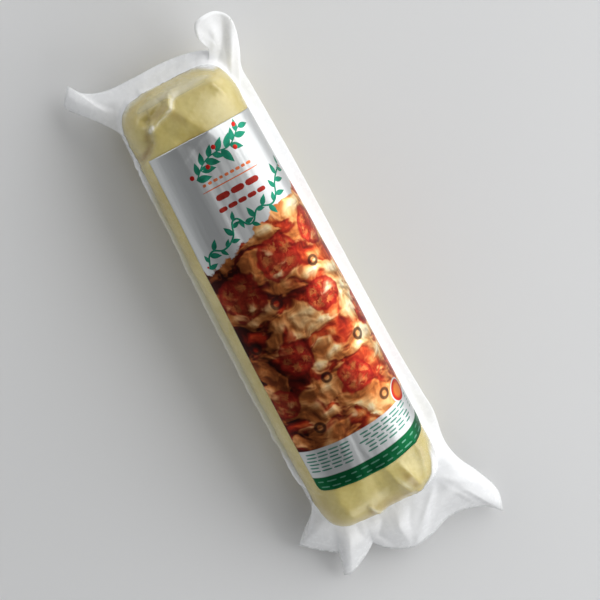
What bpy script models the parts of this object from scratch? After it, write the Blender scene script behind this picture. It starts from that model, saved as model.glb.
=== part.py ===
"""A mozzarella loaf sealed in a clear pouch, with a paper label round its crown.

The loaf lies on a small flat underside with the label up. The loaf and the pouch that clings
to it are one closed solid: a rounded block, and round its waist the pouch's seam, which leaves
it as a narrow fin on each side and as a loose flap with pointed ears at each end. The label is
a thin curved sheet over the crown.

X runs across the loaf, Y along it with the label's head at +Y, and Z up. The origin is on the
floor under the middle of the loaf.
"""
import math

import bmesh
import bpy
from mathutils import Vector

MM = 0.001

# Loaf: a rounded block, slightly narrower at its head.
LOAF_LENGTH = 257 * MM
END_LENGTH = 33 * MM
HALF_WIDTH_HEAD = 31.7 * MM
HALF_WIDTH_MIDDLE = 34.9 * MM
HALF_WIDTH_FOOT = 35.7 * MM
WAIST_HEIGHT = 29 * MM
CROWN_RISE = 31 * MM
CORNER_POWER = 4.6
SECTION_POWER = 3.0

# Seam of the pouch.
SEAM_HEIGHT = 24 * MM
FILM_THICKNESS = 1.0 * MM
FILLET_RISE = 2.4 * MM
FILLET_REACH = 1.1 * MM
SEAM_LEAVES_LEVEL = 0.55

# Label, by the distance round the loaf from the middle of its crown.
LABEL_LEFT = -31.5 * MM
LABEL_RIGHT = 55 * MM
LABEL_HEAD = 99.6 * MM
LABEL_FOOT = -101 * MM
LABEL_HEAD_BOW = 0.8
LABEL_FOOT_BOW = 3.5
LABEL_LEFT_CORNER = 3 * MM
LABEL_RIGHT_CORNER = 20 * MM
LABEL_THICKNESS = 0.5 * MM
LABEL_GAP = 0.35 * MM

# Fineness of the meshes.
POINTS_A_QUARTER_END = 27
POINTS_A_SIDE = 14
CROWN_ANGLES = (80, 66, 54, 45, 35, 20)
BELLY_ANGLES = (22, 40, 52)
SEAM_STEPS = (0.04, 0.12, 0.45, 0.75, 1.0)
LABEL_COLUMNS = 20
LABEL_ROWS = 14
SECTION_STEPS = 400
SHARP_FROM = 50

# Edge of the pouch, clockwise from the middle of the head, seen from above. Each point has its
# station round the loaf (0 at the head, 1 and 2 at the ends of the right side, 3 at the foot,
# 4 and 5 at the ends of the left side, 6 at the head again) and its place in millimetres.
# A sharp point ends one smooth stretch and starts the next.
SMOOTH = False
SHARP = True
HEAD_EDGE = (
    (0.00, 1.7, 137.6, 20, SMOOTH),
    (0.17, 13.0, 136.6, 20, SMOOTH),
    (0.33, 23.0, 134.4, 21, SMOOTH),
    (0.42, 29.3, 131.6, 24, SHARP),
)
HEAD_RIGHT_EAR = (
    (0.45, 27.4, 135.6, 30, SMOOTH),
    (0.49, 25.3, 141.7, 34, SMOOTH),
    (0.53, 27.0, 147.8, 36, SMOOTH),
    (0.57, 31.0, 149.6, 36, SMOOTH),
    (0.62, 39.0, 149.3, 33, SMOOTH),
    (0.68, 45.0, 144.0, 30, SMOOTH),
    (0.73, 46.0, 136.5, 27, SMOOTH),
    (0.80, 43.0, 125.0, 24, SMOOTH),
    (0.86, 39.6, 116.5, 23, SMOOTH),
)
RIGHT_FIN = (
    (0.93, 39.9, 106.0, 23, SMOOTH),
    (1.20, 41.7, 57.6, 23, SMOOTH),
    (1.75, 43.4, -49.9, 23, SMOOTH),
    (1.95, 45.2, -86.0, 23, SMOOTH),
    (2.06, 46.0, -98.0, 23, SMOOTH),
    (2.20, 43.8, -116.0, 22, SMOOTH),
)
FOOT_RIGHT_EAR = (
    (2.30, 46.5, -130.0, 19, SMOOTH),
    (2.38, 54.5, -147.5, 12, SMOOTH),
    (2.44, 58.8, -162.0, 9, SMOOTH),
    (2.48, 56.2, -174.5, 7, SHARP),
    (2.53, 49.0, -166.8, 9, SMOOTH),
    (2.60, 38.0, -161.2, 12, SMOOTH),
)
FOOT_LOBE = (
    (2.68, 27.0, -160.2, 12, SMOOTH),
    (2.80, 14.0, -165.2, 10, SMOOTH),
    (2.97, 0.0, -165.9, 10, SMOOTH),
    (3.16, -10.5, -159.6, 12, SMOOTH),
    (3.28, -17.5, -151.1, 15, SHARP),
)
FOOT_TIP = (
    (3.34, -25.0, -157.2, 11, SMOOTH),
    (3.41, -36.0, -163.5, 7, SMOOTH),
    (3.44, -40.0, -162.4, 6, SHARP),
    (3.52, -36.8, -147.8, 11, SHARP),
)
FOOT_LEFT_EAR = (
    (3.58, -46.0, -141.7, 8, SMOOTH),
    (3.64, -54.5, -133.8, 7, SHARP),
    (3.72, -46.4, -125.2, 10, SMOOTH),
    (3.82, -38.5, -117.3, 14, SMOOTH),
)
LEFT_FIN = (
    (3.93, -37.3, -106.0, 17, SMOOTH),
    (4.05, -37.6, -86.0, 17, SMOOTH),
    (4.50, -36.6, 0.0, 17, SMOOTH),
    (4.95, -34.0, 86.0, 17, SMOOTH),
    (5.14, -33.0, 110.0, 17, SMOOTH),
    (5.22, -32.9, 119.0, 17, SMOOTH),
)
HEAD_LEFT_EAR = (
    (5.30, -37.0, 127.6, 15, SMOOTH),
    (5.36, -47.0, 134.3, 13, SMOOTH),
    (5.40, -51.8, 141.2, 12, SMOOTH),
    (5.43, -45.1, 149.4, 12, SHARP),
    (5.47, -40.0, 142.6, 14, SMOOTH),
    (5.55, -30.0, 138.5, 17, SMOOTH),
    (5.72, -15.0, 137.6, 19, SMOOTH),
)
STATIONS = 6
POUCH_EDGE = (HEAD_EDGE + HEAD_RIGHT_EAR + RIGHT_FIN + FOOT_RIGHT_EAR + FOOT_LOBE + FOOT_TIP
              + FOOT_LEFT_EAR + LEFT_FIN + HEAD_LEFT_EAR)

# The curled ear joins the flap through a neck that its film has to pass.
NECK = Vector((38 * MM, 133 * MM, 25 * MM))
NECK_STATIONS = (0.43, 0.49, 0.62, 0.78)

# Folds of the flaps: station, half width in stations, height in millimetres. Their height grows
# from the loaf outwards and falls off again towards the edge, as u * (FOLD_FADE - u) does.
FOLD_FADE = 1.6
FLAP_FOLDS = (
    (0.22, 0.05, 1.2),
    (0.70, 0.04, 1.8),
    (2.34, 0.05, 2.0),
    (2.46, 0.03, -1.6),
    (2.58, 0.05, 2.6),
    (2.72, 0.06, -2.2),
    (2.88, 0.06, 2.4),
    (3.06, 0.05, -1.4),
    (3.20, 0.04, 1.6),
    (3.46, 0.04, 1.6),
    (3.68, 0.04, -1.2),
    (5.40, 0.05, 1.6),
    (5.62, 0.05, -0.9),
    (5.82, 0.05, 1.0),
)

COLOURS = {
    "bag": ((0.80, 0.72, 0.47, 1.0), 0.28),
    "label": ((0.90, 0.90, 0.89, 1.0), 0.42),
}


def power_radius(across, along, power):
    """Reach of a unit superellipse in the direction (across, along)."""
    return 1 / (abs(across) ** power + abs(along) ** power) ** (1 / power)


def spine_half_length():
    """Half the length of the loaf's straight part."""
    return LOAF_LENGTH / 2 - END_LENGTH


def half_width(y):
    """Half width of the loaf at y, a parabola through its head, middle and foot."""
    t = max(-1, min(1, y / spine_half_length()))
    lean = (HALF_WIDTH_HEAD - HALF_WIDTH_FOOT) / 2
    bow = (HALF_WIDTH_HEAD + HALF_WIDTH_FOOT) / 2 - HALF_WIDTH_MIDDLE
    return HALF_WIDTH_MIDDLE + lean * t + bow * t * t


def spine_and_root(station):
    """Spine point and widest point of the loaf at a station, both at the waist's height."""
    if station > STATIONS / 2:
        spine, root = spine_and_root(STATIONS - station)
        return Vector((-spine.x, spine.y, spine.z)), Vector((-root.x, root.y, root.z))
    spine_end = spine_half_length()
    if 1 <= station <= 2:
        y = spine_end * (3 - 2 * station)
        return Vector((0, y, WAIST_HEIGHT)), Vector((half_width(y), y, WAIST_HEIGHT))
    is_head = station < 1
    side = 1 if is_head else -1
    turn = math.radians(90) * (station if is_head else 3 - station)
    spine = Vector((0, side * spine_end, WAIST_HEIGHT))
    width = half_width(spine.y)
    across, along = math.sin(turn), math.cos(turn)
    reach = power_radius(across / width, along / END_LENGTH, CORNER_POWER)
    return spine, spine + Vector((across * reach, side * along * reach, 0))


def loaf_point(station, angle):
    """Point of the loaf's skin: angle is 90 at the crown, 0 at the waist and below it negative."""
    spine, root = spine_and_root(station)
    out, up = math.cos(math.radians(angle)), math.sin(math.radians(angle))
    reach = power_radius(out, up, SECTION_POWER)
    point = spine + (root - spine) * (out * reach)
    point.z = max(WAIST_HEIGHT + CROWN_RISE * up * reach, 0)
    return point


def base_angle():
    """Angle at which the loaf's skin meets the flat underside."""
    drop = WAIST_HEIGHT / CROWN_RISE
    out = (1 - drop ** SECTION_POWER) ** (1 / SECTION_POWER)
    return -math.degrees(math.atan2(drop, out))


def edge_point(station):
    """Point of the pouch's edge: a smooth curve through POUCH_EDGE, broken at its sharp points."""
    count = len(POUCH_EDGE)
    after = next((i for i, p in enumerate(POUCH_EDGE) if p[0] > station), count)
    points = []
    for index in range(after - 2, after + 2):
        turns, place = divmod(index, count)
        at, x, y, z, is_sharp = POUCH_EDGE[place]
        points.append((at + turns * STATIONS, Vector((x, y, z)) * MM, is_sharp))
    (s0, p0, _), (s1, p1, sharp1), (s2, p2, sharp2), (s3, p3, _) = points
    chord = (p2 - p1) / (s2 - s1)
    leave = chord if sharp1 else (p2 - p0) / (s2 - s0)
    arrive = chord if sharp2 else (p3 - p1) / (s3 - s1)
    span = s2 - s1
    t = (station - s1) / span
    return (p1 * (2 * t ** 3 - 3 * t * t + 1) + p2 * (3 * t * t - 2 * t ** 3)
            + leave * span * (t ** 3 - 2 * t * t + t) + arrive * span * (t ** 3 - t * t))


def snapped(station, spacing):
    """The station, or the sharp point of the edge that is nearest to it."""
    for at, _, _, _, is_sharp in POUCH_EDGE:
        if is_sharp and abs(at - station) < spacing / 2:
            return at
    return station


def neck_share(station):
    """How far the film at a station is drawn through the curled ear's neck, 0 to 1."""
    start, full, ease, end = NECK_STATIONS
    if not start < station < end:
        return 0
    return min(1, (station - start) / (full - start), (end - station) / (end - ease))


def fold_height(station, u):
    """Height that the flap's folds add at a station, u of the way from the loaf to the edge."""
    height = sum(rise * math.exp(-((station - at) / spread) ** 2) for at, spread, rise in FLAP_FOLDS)
    return height * MM * u * (FOLD_FADE - u)


def seam_point(station, edge, u):
    """Middle of the film and its upward normal, u of the way from the loaf to the edge."""
    _, root = spine_and_root(station)
    root.z = SEAM_HEIGHT
    bend = root.lerp(edge, SEAM_LEAVES_LEVEL)
    bend.z = SEAM_HEIGHT
    bend = bend.lerp(NECK, neck_share(station))
    middle = root * (1 - u) ** 2 + bend * (2 * u * (1 - u)) + edge * u * u
    middle.z += fold_height(station, u)
    run = ((bend - root) * (1 - u) + (edge - bend) * u).normalized()
    up = (Vector((0, 0, 1)) - run * run.z).normalized()
    return middle, up


def seam_ring(stations, edges, u, face):
    """One ring of the seam's upper (face 1) or lower (face -1) film, with its fillet."""
    ring = []
    for station, edge in zip(stations, edges):
        middle, up = seam_point(station, edge, u)
        start, _ = seam_point(station, edge, 0)
        fillet = FILLET_RISE * math.exp(-(middle - start).length / FILLET_REACH)
        ring.append(middle + up * (face * (FILM_THICKNESS / 2 + fillet)))
    return ring


def ring_stations():
    """Stations of the rings' points, even in number and the same on the left and the right."""
    half = [i / POINTS_A_QUARTER_END for i in range(POINTS_A_QUARTER_END)]
    half += [1 + i / POINTS_A_SIDE for i in range(POINTS_A_SIDE)]
    half += [2 + i / POINTS_A_QUARTER_END for i in range(POINTS_A_QUARTER_END)]
    return half + [STATIONS / 2] + [STATIONS - s for s in reversed(half[1:])]


def bag_rings():
    """Closed rings from the crown out to the edge and back under to the flat underside."""
    stations = ring_stations()
    edges = [edge_point(snapped(s, 1 / POINTS_A_QUARTER_END)) for s in stations]
    join = FILM_THICKNESS / 2 + FILLET_RISE
    rings = [[loaf_point(s, angle) for s in stations] for angle in CROWN_ANGLES]
    for height in (WAIST_HEIGHT, SEAM_HEIGHT + join):
        rings.append([loaf_point(s, 0).xy.to_3d() + Vector((0, 0, height)) for s in stations])
    rings += [seam_ring(stations, edges, u, 1) for u in SEAM_STEPS]
    rings += [seam_ring(stations, edges, u, -1) for u in reversed(SEAM_STEPS)]
    rings.append([loaf_point(s, 0).xy.to_3d() + Vector((0, 0, SEAM_HEIGHT - join))
                  for s in stations])
    rings += [[loaf_point(s, -angle) for s in stations] for angle in (*BELLY_ANGLES, -base_angle())]
    return rings


def cap(mesh, ring, height, facing_up):
    """Close a ring with faces that run from it to the spine, at the given height."""
    end = spine_half_length()
    along = [round(max(-end, min(end, vertex.co.y)), 6) for vertex in ring]
    spine = {y: mesh.verts.new((0, y, height)) for y in dict.fromkeys(along)}
    for k, vertex in enumerate(ring):
        corners = [vertex, ring[k - 1], spine[along[k - 1]], spine[along[k]]]
        corners = list(dict.fromkeys(corners))
        mesh.faces.new(corners if facing_up else reversed(corners))


def loft(mesh, rings):
    """Join each ring to the next with quads, and close the first and the last."""
    rows = [[mesh.verts.new(point) for point in ring] for ring in rings]
    for inner, outer in zip(rows, rows[1:]):
        for k, vertex in enumerate(inner):
            mesh.faces.new((inner[k - 1], vertex, outer[k], outer[k - 1]))
    cap(mesh, rows[0], WAIST_HEIGHT + CROWN_RISE, True)
    cap(mesh, rows[-1], 0, False)


def crown_angle(distance):
    """Angle round the middle section at a distance from the middle of the crown."""
    travelled = 0
    last = section_point(0, 90)
    for step in range(1, SECTION_STEPS + 1):
        angle = 90 - 90 * step / SECTION_STEPS
        point = section_point(0, angle)
        travelled += (point - last).length
        last = point
        if travelled >= abs(distance):
            return angle
    return 0


def section_point(y, angle):
    """Point of the loaf's section at y, which is lower where the ends are rounded."""
    out, up = math.cos(math.radians(angle)), math.sin(math.radians(angle))
    share = out * power_radius(out, up, SECTION_POWER)
    beyond = max(0, abs(y) - spine_half_length()) / END_LENGTH
    grown = min(1, (share ** CORNER_POWER + beyond ** CORNER_POWER) ** (1 / CORNER_POWER))
    rise = (1 - grown ** SECTION_POWER) ** (1 / SECTION_POWER)
    return Vector((half_width(y) * share, y, WAIST_HEIGHT + CROWN_RISE * rise))


def label_point(distance, y, height):
    """Point of the label at a distance round from the crown, height above the loaf's skin."""
    point = section_point(y, crown_angle(distance))
    width = half_width(y)
    slope_across = (point.x / width) ** (SECTION_POWER - 1) / width
    slope_up = ((point.z - WAIST_HEIGHT) / CROWN_RISE) ** (SECTION_POWER - 1) / CROWN_RISE
    point += Vector((slope_across, 0, slope_up)).normalized() * height
    return Vector((math.copysign(point.x, distance), point.y, point.z))


def label_ends(distance):
    """Foot and head of the label, in y, at a distance round from the crown."""
    foot = LABEL_FOOT + LABEL_FOOT_BOW * distance ** 2
    head = LABEL_HEAD - LABEL_HEAD_BOW * distance ** 2
    for radius, inset in ((LABEL_LEFT_CORNER, distance - LABEL_LEFT),
                          (LABEL_RIGHT_CORNER, LABEL_RIGHT - distance)):
        if inset < radius:
            foot += radius - math.sqrt(radius ** 2 - (radius - inset) ** 2)
    return foot, head


def label_rows(height):
    """Rows of the label's points, from its foot to its head, height above the loaf's skin."""
    rows = []
    for j in range(LABEL_ROWS + 1):
        row = []
        for i in range(LABEL_COLUMNS + 1):
            distance = LABEL_LEFT + (LABEL_RIGHT - LABEL_LEFT) * i / LABEL_COLUMNS
            foot, head = label_ends(distance)
            row.append(label_point(distance, foot + (head - foot) * j / LABEL_ROWS, height))
        rows.append(row)
    return rows


def sheet(mesh, lower, upper):
    """Closed thin sheet between two grids of points."""
    grids = [[[mesh.verts.new(point) for point in row] for row in rows] for rows in (lower, upper)]
    for grid, turned in zip(grids, (True, False)):
        for row, above in zip(grid, grid[1:]):
            for i in range(len(row) - 1):
                corners = (row[i], row[i + 1], above[i + 1], above[i])
                mesh.faces.new(reversed(corners) if turned else corners)
    rims = [grid[0] + [row[-1] for row in grid[1:]] + grid[-1][-2::-1]
            + [row[0] for row in grid[-2:0:-1]] for grid in grids]
    for k in range(len(rims[0])):
        mesh.faces.new((rims[0][k - 1], rims[0][k], rims[1][k], rims[1][k - 1]))


def finish(name, mesh, collection):
    """Turn the built mesh into an object with its own material, shaded smooth."""
    data = bpy.data.meshes.new(name)
    mesh.to_mesh(data)
    mesh.free()
    data.shade_smooth()
    data.set_sharp_from_angle(angle=math.radians(SHARP_FROM))
    colour, roughness = COLOURS[name]
    material = bpy.data.materials.new(name)
    material.use_nodes = True
    shader = material.node_tree.nodes["Principled BSDF"]
    shader.inputs["Base Color"].default_value = colour
    shader.inputs["Roughness"].default_value = roughness
    shader.inputs["Metallic"].default_value = 0
    data.materials.append(material)
    collection.objects.link(bpy.data.objects.new(name, data))


def build_bag(collection):
    """Loaf and pouch as one closed solid."""
    mesh = bmesh.new()
    loft(mesh, bag_rings())
    finish("bag", mesh, collection)


def build_label(collection):
    """Label as a thin closed sheet just above the loaf's skin."""
    mesh = bmesh.new()
    sheet(mesh, label_rows(LABEL_GAP), label_rows(LABEL_GAP + LABEL_THICKNESS))
    finish("label", mesh, collection)


def main():
    """Clear the file and build the loaf."""
    for old in list(bpy.data.objects):
        bpy.data.objects.remove(old)
    collection = bpy.data.collections.new("mozzarella_loaf")
    bpy.context.scene.collection.children.link(collection)
    build_bag(collection)
    build_label(collection)


main()
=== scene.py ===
"""Looks of the mozzarella loaf: clear pouch, cheese, printed label, floor, light and camera.

X runs across the loaf, Y along it with the label's head at +Y, and Z up, as in the solids.
"""
import logging
import math
from collections.abc import Callable, Sequence
from dataclasses import dataclass, field
from enum import Enum

import bpy
import numpy as np
from mathutils import Matrix, Vector


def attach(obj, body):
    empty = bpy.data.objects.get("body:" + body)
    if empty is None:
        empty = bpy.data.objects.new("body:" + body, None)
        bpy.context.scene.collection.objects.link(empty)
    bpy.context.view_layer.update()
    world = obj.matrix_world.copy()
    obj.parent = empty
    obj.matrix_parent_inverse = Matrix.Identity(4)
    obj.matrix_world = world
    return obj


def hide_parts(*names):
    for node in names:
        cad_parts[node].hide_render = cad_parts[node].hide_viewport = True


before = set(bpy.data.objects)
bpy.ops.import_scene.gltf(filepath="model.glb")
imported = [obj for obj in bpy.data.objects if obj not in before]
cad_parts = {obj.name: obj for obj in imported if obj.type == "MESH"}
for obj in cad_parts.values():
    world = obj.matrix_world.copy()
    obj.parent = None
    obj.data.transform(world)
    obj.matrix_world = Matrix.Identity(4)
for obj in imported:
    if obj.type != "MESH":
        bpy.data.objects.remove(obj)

LOG = logging.getLogger("mozzarella_loaf")
MM = 0.001
TINY = 1e-12
MICRON_DIGITS = 6
STATIONS = 6
MIX_BELOW, MIX_ABOVE, MIX_RESULT = 6, 7, 2
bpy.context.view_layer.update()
Socket = bpy.types.NodeSocket
Value = Socket | float | Sequence[float]
Points = np.ndarray
Colour = tuple[float, float, float]
Place = tuple[float, float, float]
Limits = tuple[float, float]
Trapeze = tuple[float, float, float, float]


def smooth_step(low: float | Points, high: float | Points, value: Points) -> Points:
    """Ease from 0 at low to 1 at high.

    Args:
        low: Value at which the ease starts.
        high: Value at which it ends.
        value: Values to ease.

    Returns:
        Eased values from 0 to 1.
    """
    t = np.clip((value - low) / (high - low), 0, 1)
    return t * t * (3 - 2 * t)


def power_radius(across: Points, along: Points, power: float) -> Points:
    """Reach of a unit superellipse in the direction (across, along)."""
    return 1 / (np.abs(across) ** power + np.abs(along) ** power) ** (1 / power)


def unit(vectors: Points) -> Points:
    """Vectors made one long."""
    return vectors / np.maximum(np.linalg.norm(vectors, axis=-1, keepdims=True), TINY)


def grid_normals(rows: Points) -> Points:
    """Outward normals of a grid of closed rings that run clockwise, from the crown outwards."""
    along = np.roll(rows, -1, axis=1) - np.roll(rows, 1, axis=1)
    return unit(np.cross(along, np.gradient(rows, axis=0)))


class Side(Enum):
    """Side of the film that a ring of the seam belongs to."""

    UPPER = 1
    LOWER = -1


@dataclass(frozen=True)
class Crease:
    """A line of relief on the loaf's skin, seen from above.

    Args:
        path: Points in millimetres, each with its height in millimetres.
        left: How far the slope reaches to the left of the path, in millimetres, or how far a
            step's fall reaches.
        right: How far it reaches to the right, in millimetres, or how soft a step's edge is.
        haze: Milkiness of the film on the line; strength of painted shade on the cheese.
        is_step: True where the skin steps down from right to left instead of forming a ridge.
        power: Roundness of the crest: 1 is sharp, 2 is round.
    """

    path: tuple[Place, ...]
    left: float
    right: float
    haze: float = 0.0
    is_step: bool = False
    power: float = 1.35

    def near(self, x: Points, y: Points) -> tuple[Points, Points, Points]:
        """Find the nearest point of the path.

        Args:
            x: Places across the loaf, in millimetres.
            y: Places along the loaf, in millimetres.

        Returns:
            Distance in millimetres, positive to the right; the path's height; and the distance
            without its sign.
        """
        best = np.full(np.shape(x), np.inf)
        offset, height = np.zeros_like(best), np.zeros_like(best)
        for (x0, y0, h0), (x1, y1, h1) in zip(self.path, self.path[1:]):
            run_x, run_y = x1 - x0, y1 - y0
            length = math.hypot(run_x, run_y)
            t = np.clip(((x - x0) * run_x + (y - y0) * run_y) / length ** 2, 0, 1)
            gap = np.hypot(x - x0 - t * run_x, y - y0 - t * run_y)
            turn = np.sign((y - y0) * run_x - (x - x0) * run_y)
            closer = gap < best
            best = np.where(closer, gap, best)
            offset = np.where(closer, -turn * gap, offset)
            height = np.where(closer, h0 + (h1 - h0) * t, height)
        return offset, height, best

    def relief(self, x: Points, y: Points) -> Points:
        """Height that the crease adds to the skin.

        Args:
            x: Places across the loaf, in millimetres.
            y: Places along the loaf, in millimetres.

        Returns:
            Height in millimetres.
        """
        offset, height, gap = self.near(x, y)
        if self.is_step:
            fall = 0.5 * (1 - np.tanh(offset / self.right))
            return -height * fall * np.exp(-(gap / self.left) ** 2)
        spread = np.where(offset < 0, self.left, self.right)
        return height * np.exp(-(gap / spread) ** self.power)

    def milk(self, x: Points, y: Points) -> Points:
        """Film milkiness or painted cheese shade, up to its haze, that the crease adds at (x, y).
        """
        (_, height, gap), top = self.near(x, y), max(abs(rise) for _, _, rise in self.path)
        return self.haze * np.abs(height) / top * np.exp(-(gap / max(self.left, self.right)) ** 2)


@dataclass(frozen=True)
class Flute:
    """Long shallow waves that run along the loaf, in millimetres.

    They are highest at the middle, fade over the spread, and have a crest at the given place.
    """

    rise: float
    middle: float
    spread: float
    crest: float
    pitch: float

    def relief(self, x: Points, sway: Points) -> Points:
        """Height in millimetres of waves whose crests sway to and fro."""
        share = np.exp(-((x - self.middle) / self.spread) ** 2)
        return self.rise * share * np.cos((x - self.crest + sway) / self.pitch * math.tau)


@dataclass(frozen=True)
class PleatSizes:
    """Limits between which the sizes of a short pleat are drawn.

    Spread is its half width and lean how far it leans over the lean angle, both in stations. Rise
    is its height in millimetres, below 0 for a furrow, and reach its length in degrees.
    """

    spread: Limits
    rise: Limits
    reach: Limits
    lean: Limits
    lean_angle: float = 30
    power: float = 1.5

    def draw(self, random: np.random.Generator, away: Points, turn: float,
             gain: float = 1.0) -> Points:
        """Draw one pleat.

        Args:
            random: Source of its sizes.
            away: Distance from the pleat, in stations.
            turn: Angle from its middle, in degrees.
            gain: Share of its height that shows.

        Returns:
            Height in millimetres.
        """
        spread, rise = random.uniform(*self.spread), random.uniform(*self.rise)
        reach, lean = random.uniform(*self.reach), random.uniform(*self.lean)
        away = np.abs(away - lean * turn / self.lean_angle) / spread
        return gain * rise * np.exp(-away ** self.power) * math.exp(-(turn / reach) ** 2)


@dataclass
class LoafForm:
    """Form of the loaf: a rounded block, slightly narrower at its head.

    Stations count round the loaf, clockwise from above: 0 at the head, 1 to 2 the right side, 3
    the foot, 4 to 5 the left side. Angles in degrees go up the skin: 90 at the crown, 0 at the
    waist. The relief is creases, flutes that sway to the side, broad lumps and small dents, whose
    sizes are in millimetres, or millimetres a radian where they repeat. The pleats are drawn at
    random: wider ones at the ends, finer ones on the sides, slanting ones on the bare flank.
    """

    length: float = 257 * MM
    end_length: float = 33 * MM
    half_width_head: float = 31.7 * MM
    half_width_middle: float = 34.9 * MM
    half_width_foot: float = 35.7 * MM
    waist_height: float = 29 * MM
    crown_rise: float = 31 * MM
    corner_power: float = 4.6
    section_power: float = 3.0
    quarter: int = 84
    side: int = 170
    crown_angle: float = 86
    crown_rows: int = 56
    relief_fade: float = 10 * MM
    crease_gain: float = 1.45
    sway: float = 1.6
    sway_length: float = 37
    flutes: tuple[Flute, ...] = (Flute(0.34, -14, 12, -8, 21), Flute(0.05, -4, 9, 0, 5.5))
    lump_rise: float = 0.16
    lump_size: Place = (14, 19, 47)
    lump_start: Limits = (1.3, 0.4)
    dent_rise: float = 0.10
    dent_size: Limits = (11, 8.5)
    gather_seed: int = 8
    gather_count: int = 260
    side_half: float = 0.55
    end_pleats: PleatSizes = PleatSizes((0.014, 0.030), (-0.25, 0.38), (8, 34), (-0.02, 0.02))
    side_pleats: PleatSizes = PleatSizes((0.008, 0.016), (-0.22, 0.26), (6, 26), (-0.02, 0.02))
    slant_count: int = 90
    flank_pleats: PleatSizes = PleatSizes((0.007, 0.018), (-0.42, 0.5), (8, 24), (-0.16, 0.16))
    flank_stations: Limits = (3.85, 5.2)
    flank_angles: Limits = (-34, 44)
    flank_top: Limits = (50, 40)
    flank_foot: Limits = (2, 12)
    creases: tuple[Crease, ...] = (
        Crease(((-29, 113, 0.4), (-22, 118.5, 0.8), (-10, 121.6, 1), (1.9, 122.2, 1.2),
                (13.6, 121.8, 1.1), (23, 119.6, 0.9), (29, 114, 0.4)), 2.2, 6),
        Crease(((1.9, 122.3, 0.5), (-2.7, 120.8, 1.2), (-5.5, 117.4, 1.9), (-11.9, 115.3, 1.5),
                (-18.6, 113.1, 2)), 1.6, 2.4, power=1.1),
        Crease(((-19.5, 118, -1.6), (-14, 118.8, -1.5), (-8.5, 120.2, -1)), 2.4, 2.6, power=1.8),
        Crease(((-31, 97, 0.8), (-29, 99.2, 1.6), (-25.4, 102, 2.4), (-21.4, 105.8, 2.4),
                (-18.6, 113.1, 1.2)), 8, 1, is_step=True),
        Crease(((-4.6, 116.5, 1.4), (-0.3, 108.6, 3.1), (5.9, 98.7, 2.5), (10, 88, 0.4),
                (13, 78, 0)), 15, 11.5, power=1.15),
        Crease(((19, 117.9, 0.9), (20.7, 114.3, 1.3), (22.5, 110.7, 0.4)), 1.4, 2.2, power=1.1),
        Crease(((-13, 112, -0.8), (-11.5, 107, -1), (-7, 99, -0.9), (-2, 90, 0)), 7, 6, power=1.5),
        Crease(((3.5, -97, 0.2), (5.6, -101.5, 0.8), (6.9, -105, 1.4), (8, -110.4, 1.9),
                (12.2, -119.5, 1.5), (13.4, -123, 0.6)), 8.5, 4.2, power=1.15),
        Crease(((13.2, -101.5, 0.2), (14.3, -105.1, 1.2), (16.2, -110.8, 2.1), (18.6, -119, 1.4),
                (19.2, -122.5, 0.6)), 2.2, 7.5, power=1.1),
        Crease(((16, -122.2, 0.9), (17.4, -122.8, 0.9)), 1.3, 1.3, power=1.3),
        Crease(((25.9, -95.9, 0.6), (26.2, -103, 1.3), (25.6, -110, 0.9), (22, -118, 0.5)), 2.2, 2,
               power=1.2),
        Crease(((-22, -99, 0.3), (-23.5, -108, 1), (-21, -118, 0.8)), 5, 4.5, power=1.4),
        Crease(((-11.2, -116, 0), (-10.2, -119.5, 0.7), (-7.6, -124.5, 1)), 1.8, 1.5, power=1.15),
        Crease(((-2.5, -101, -0.1), (-3, -110, -0.3), (-1, -120, -0.3)), 5, 5, power=1.7),
    )

    @property
    def spine_half(self) -> float:
        """Half the length of the loaf's straight part."""
        return self.length / 2 - self.end_length

    def half_width(self, y: Points) -> Points:
        """Half width of the loaf, a parabola through its head, middle and foot.

        Args:
            y: Places along the loaf, in metres.

        Returns:
            Half width in metres.
        """
        t = np.clip(y / self.spine_half, -1, 1)
        lean = (self.half_width_head - self.half_width_foot) / 2
        bow = (self.half_width_head + self.half_width_foot) / 2 - self.half_width_middle
        return self.half_width_middle + lean * t + bow * t * t

    def ring_stations(self) -> Points:
        """Stations round the loaf, the same on the left and the right.

        Returns:
            Stations from 0 up to 6.
        """
        end = np.arange(self.quarter) / self.quarter
        half = np.concatenate([end, 1 + np.arange(self.side) / self.side, 2 + end])
        return np.concatenate([half, [STATIONS / 2], STATIONS - half[:0:-1]])

    def spine_and_root(self, stations: Points) -> tuple[Points, Points]:
        """Spine points and widest points at the waist's height.

        Args:
            stations: Places round the loaf.

        Returns:
            Spine points and widest points, one row a station.
        """
        mirrored = stations > STATIONS / 2
        s = np.where(mirrored, STATIONS - stations, stations)
        side = np.where(mirrored, -1.0, 1.0)
        is_straight = (s >= 1) & (s <= 2)
        is_head = s < STATIONS / 4
        pole = np.where(is_head, 1.0, -1.0)
        turn = math.pi / 2 * np.where(is_head, s, STATIONS / 2 - s)
        across, along = np.sin(turn), np.cos(turn)
        end_width = self.half_width(pole * self.spine_half)
        reach = power_radius(across / end_width, along / self.end_length, self.corner_power)
        straight_y = self.spine_half * (3 - 2 * s)
        spine_y = np.where(is_straight, straight_y, pole * self.spine_half)
        root_x = np.where(is_straight, self.half_width(straight_y), across * reach)
        root_y = np.where(is_straight, straight_y, pole * (self.spine_half + along * reach))
        waist = np.full_like(s, self.waist_height)
        spine = np.stack([0 * s, spine_y, waist], axis=1)
        return spine, np.stack([side * root_x, root_y, waist], axis=1)

    def skin(self, stations: Points, angle: float) -> Points:
        """Ring of the plain skin.

        Args:
            stations: Stations of the ring's points.
            angle: Angle of the ring, in degrees.

        Returns:
            Points of the ring, none of them below the floor.
        """
        spine, root = self.spine_and_root(stations)
        out, up = math.cos(math.radians(angle)), math.sin(math.radians(angle))
        reach = float(power_radius(out, up, self.section_power))
        ring = spine + (root - spine) * (out * reach)
        ring[:, 2] = max(self.waist_height + self.crown_rise * up * reach, 0)
        return ring

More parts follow.
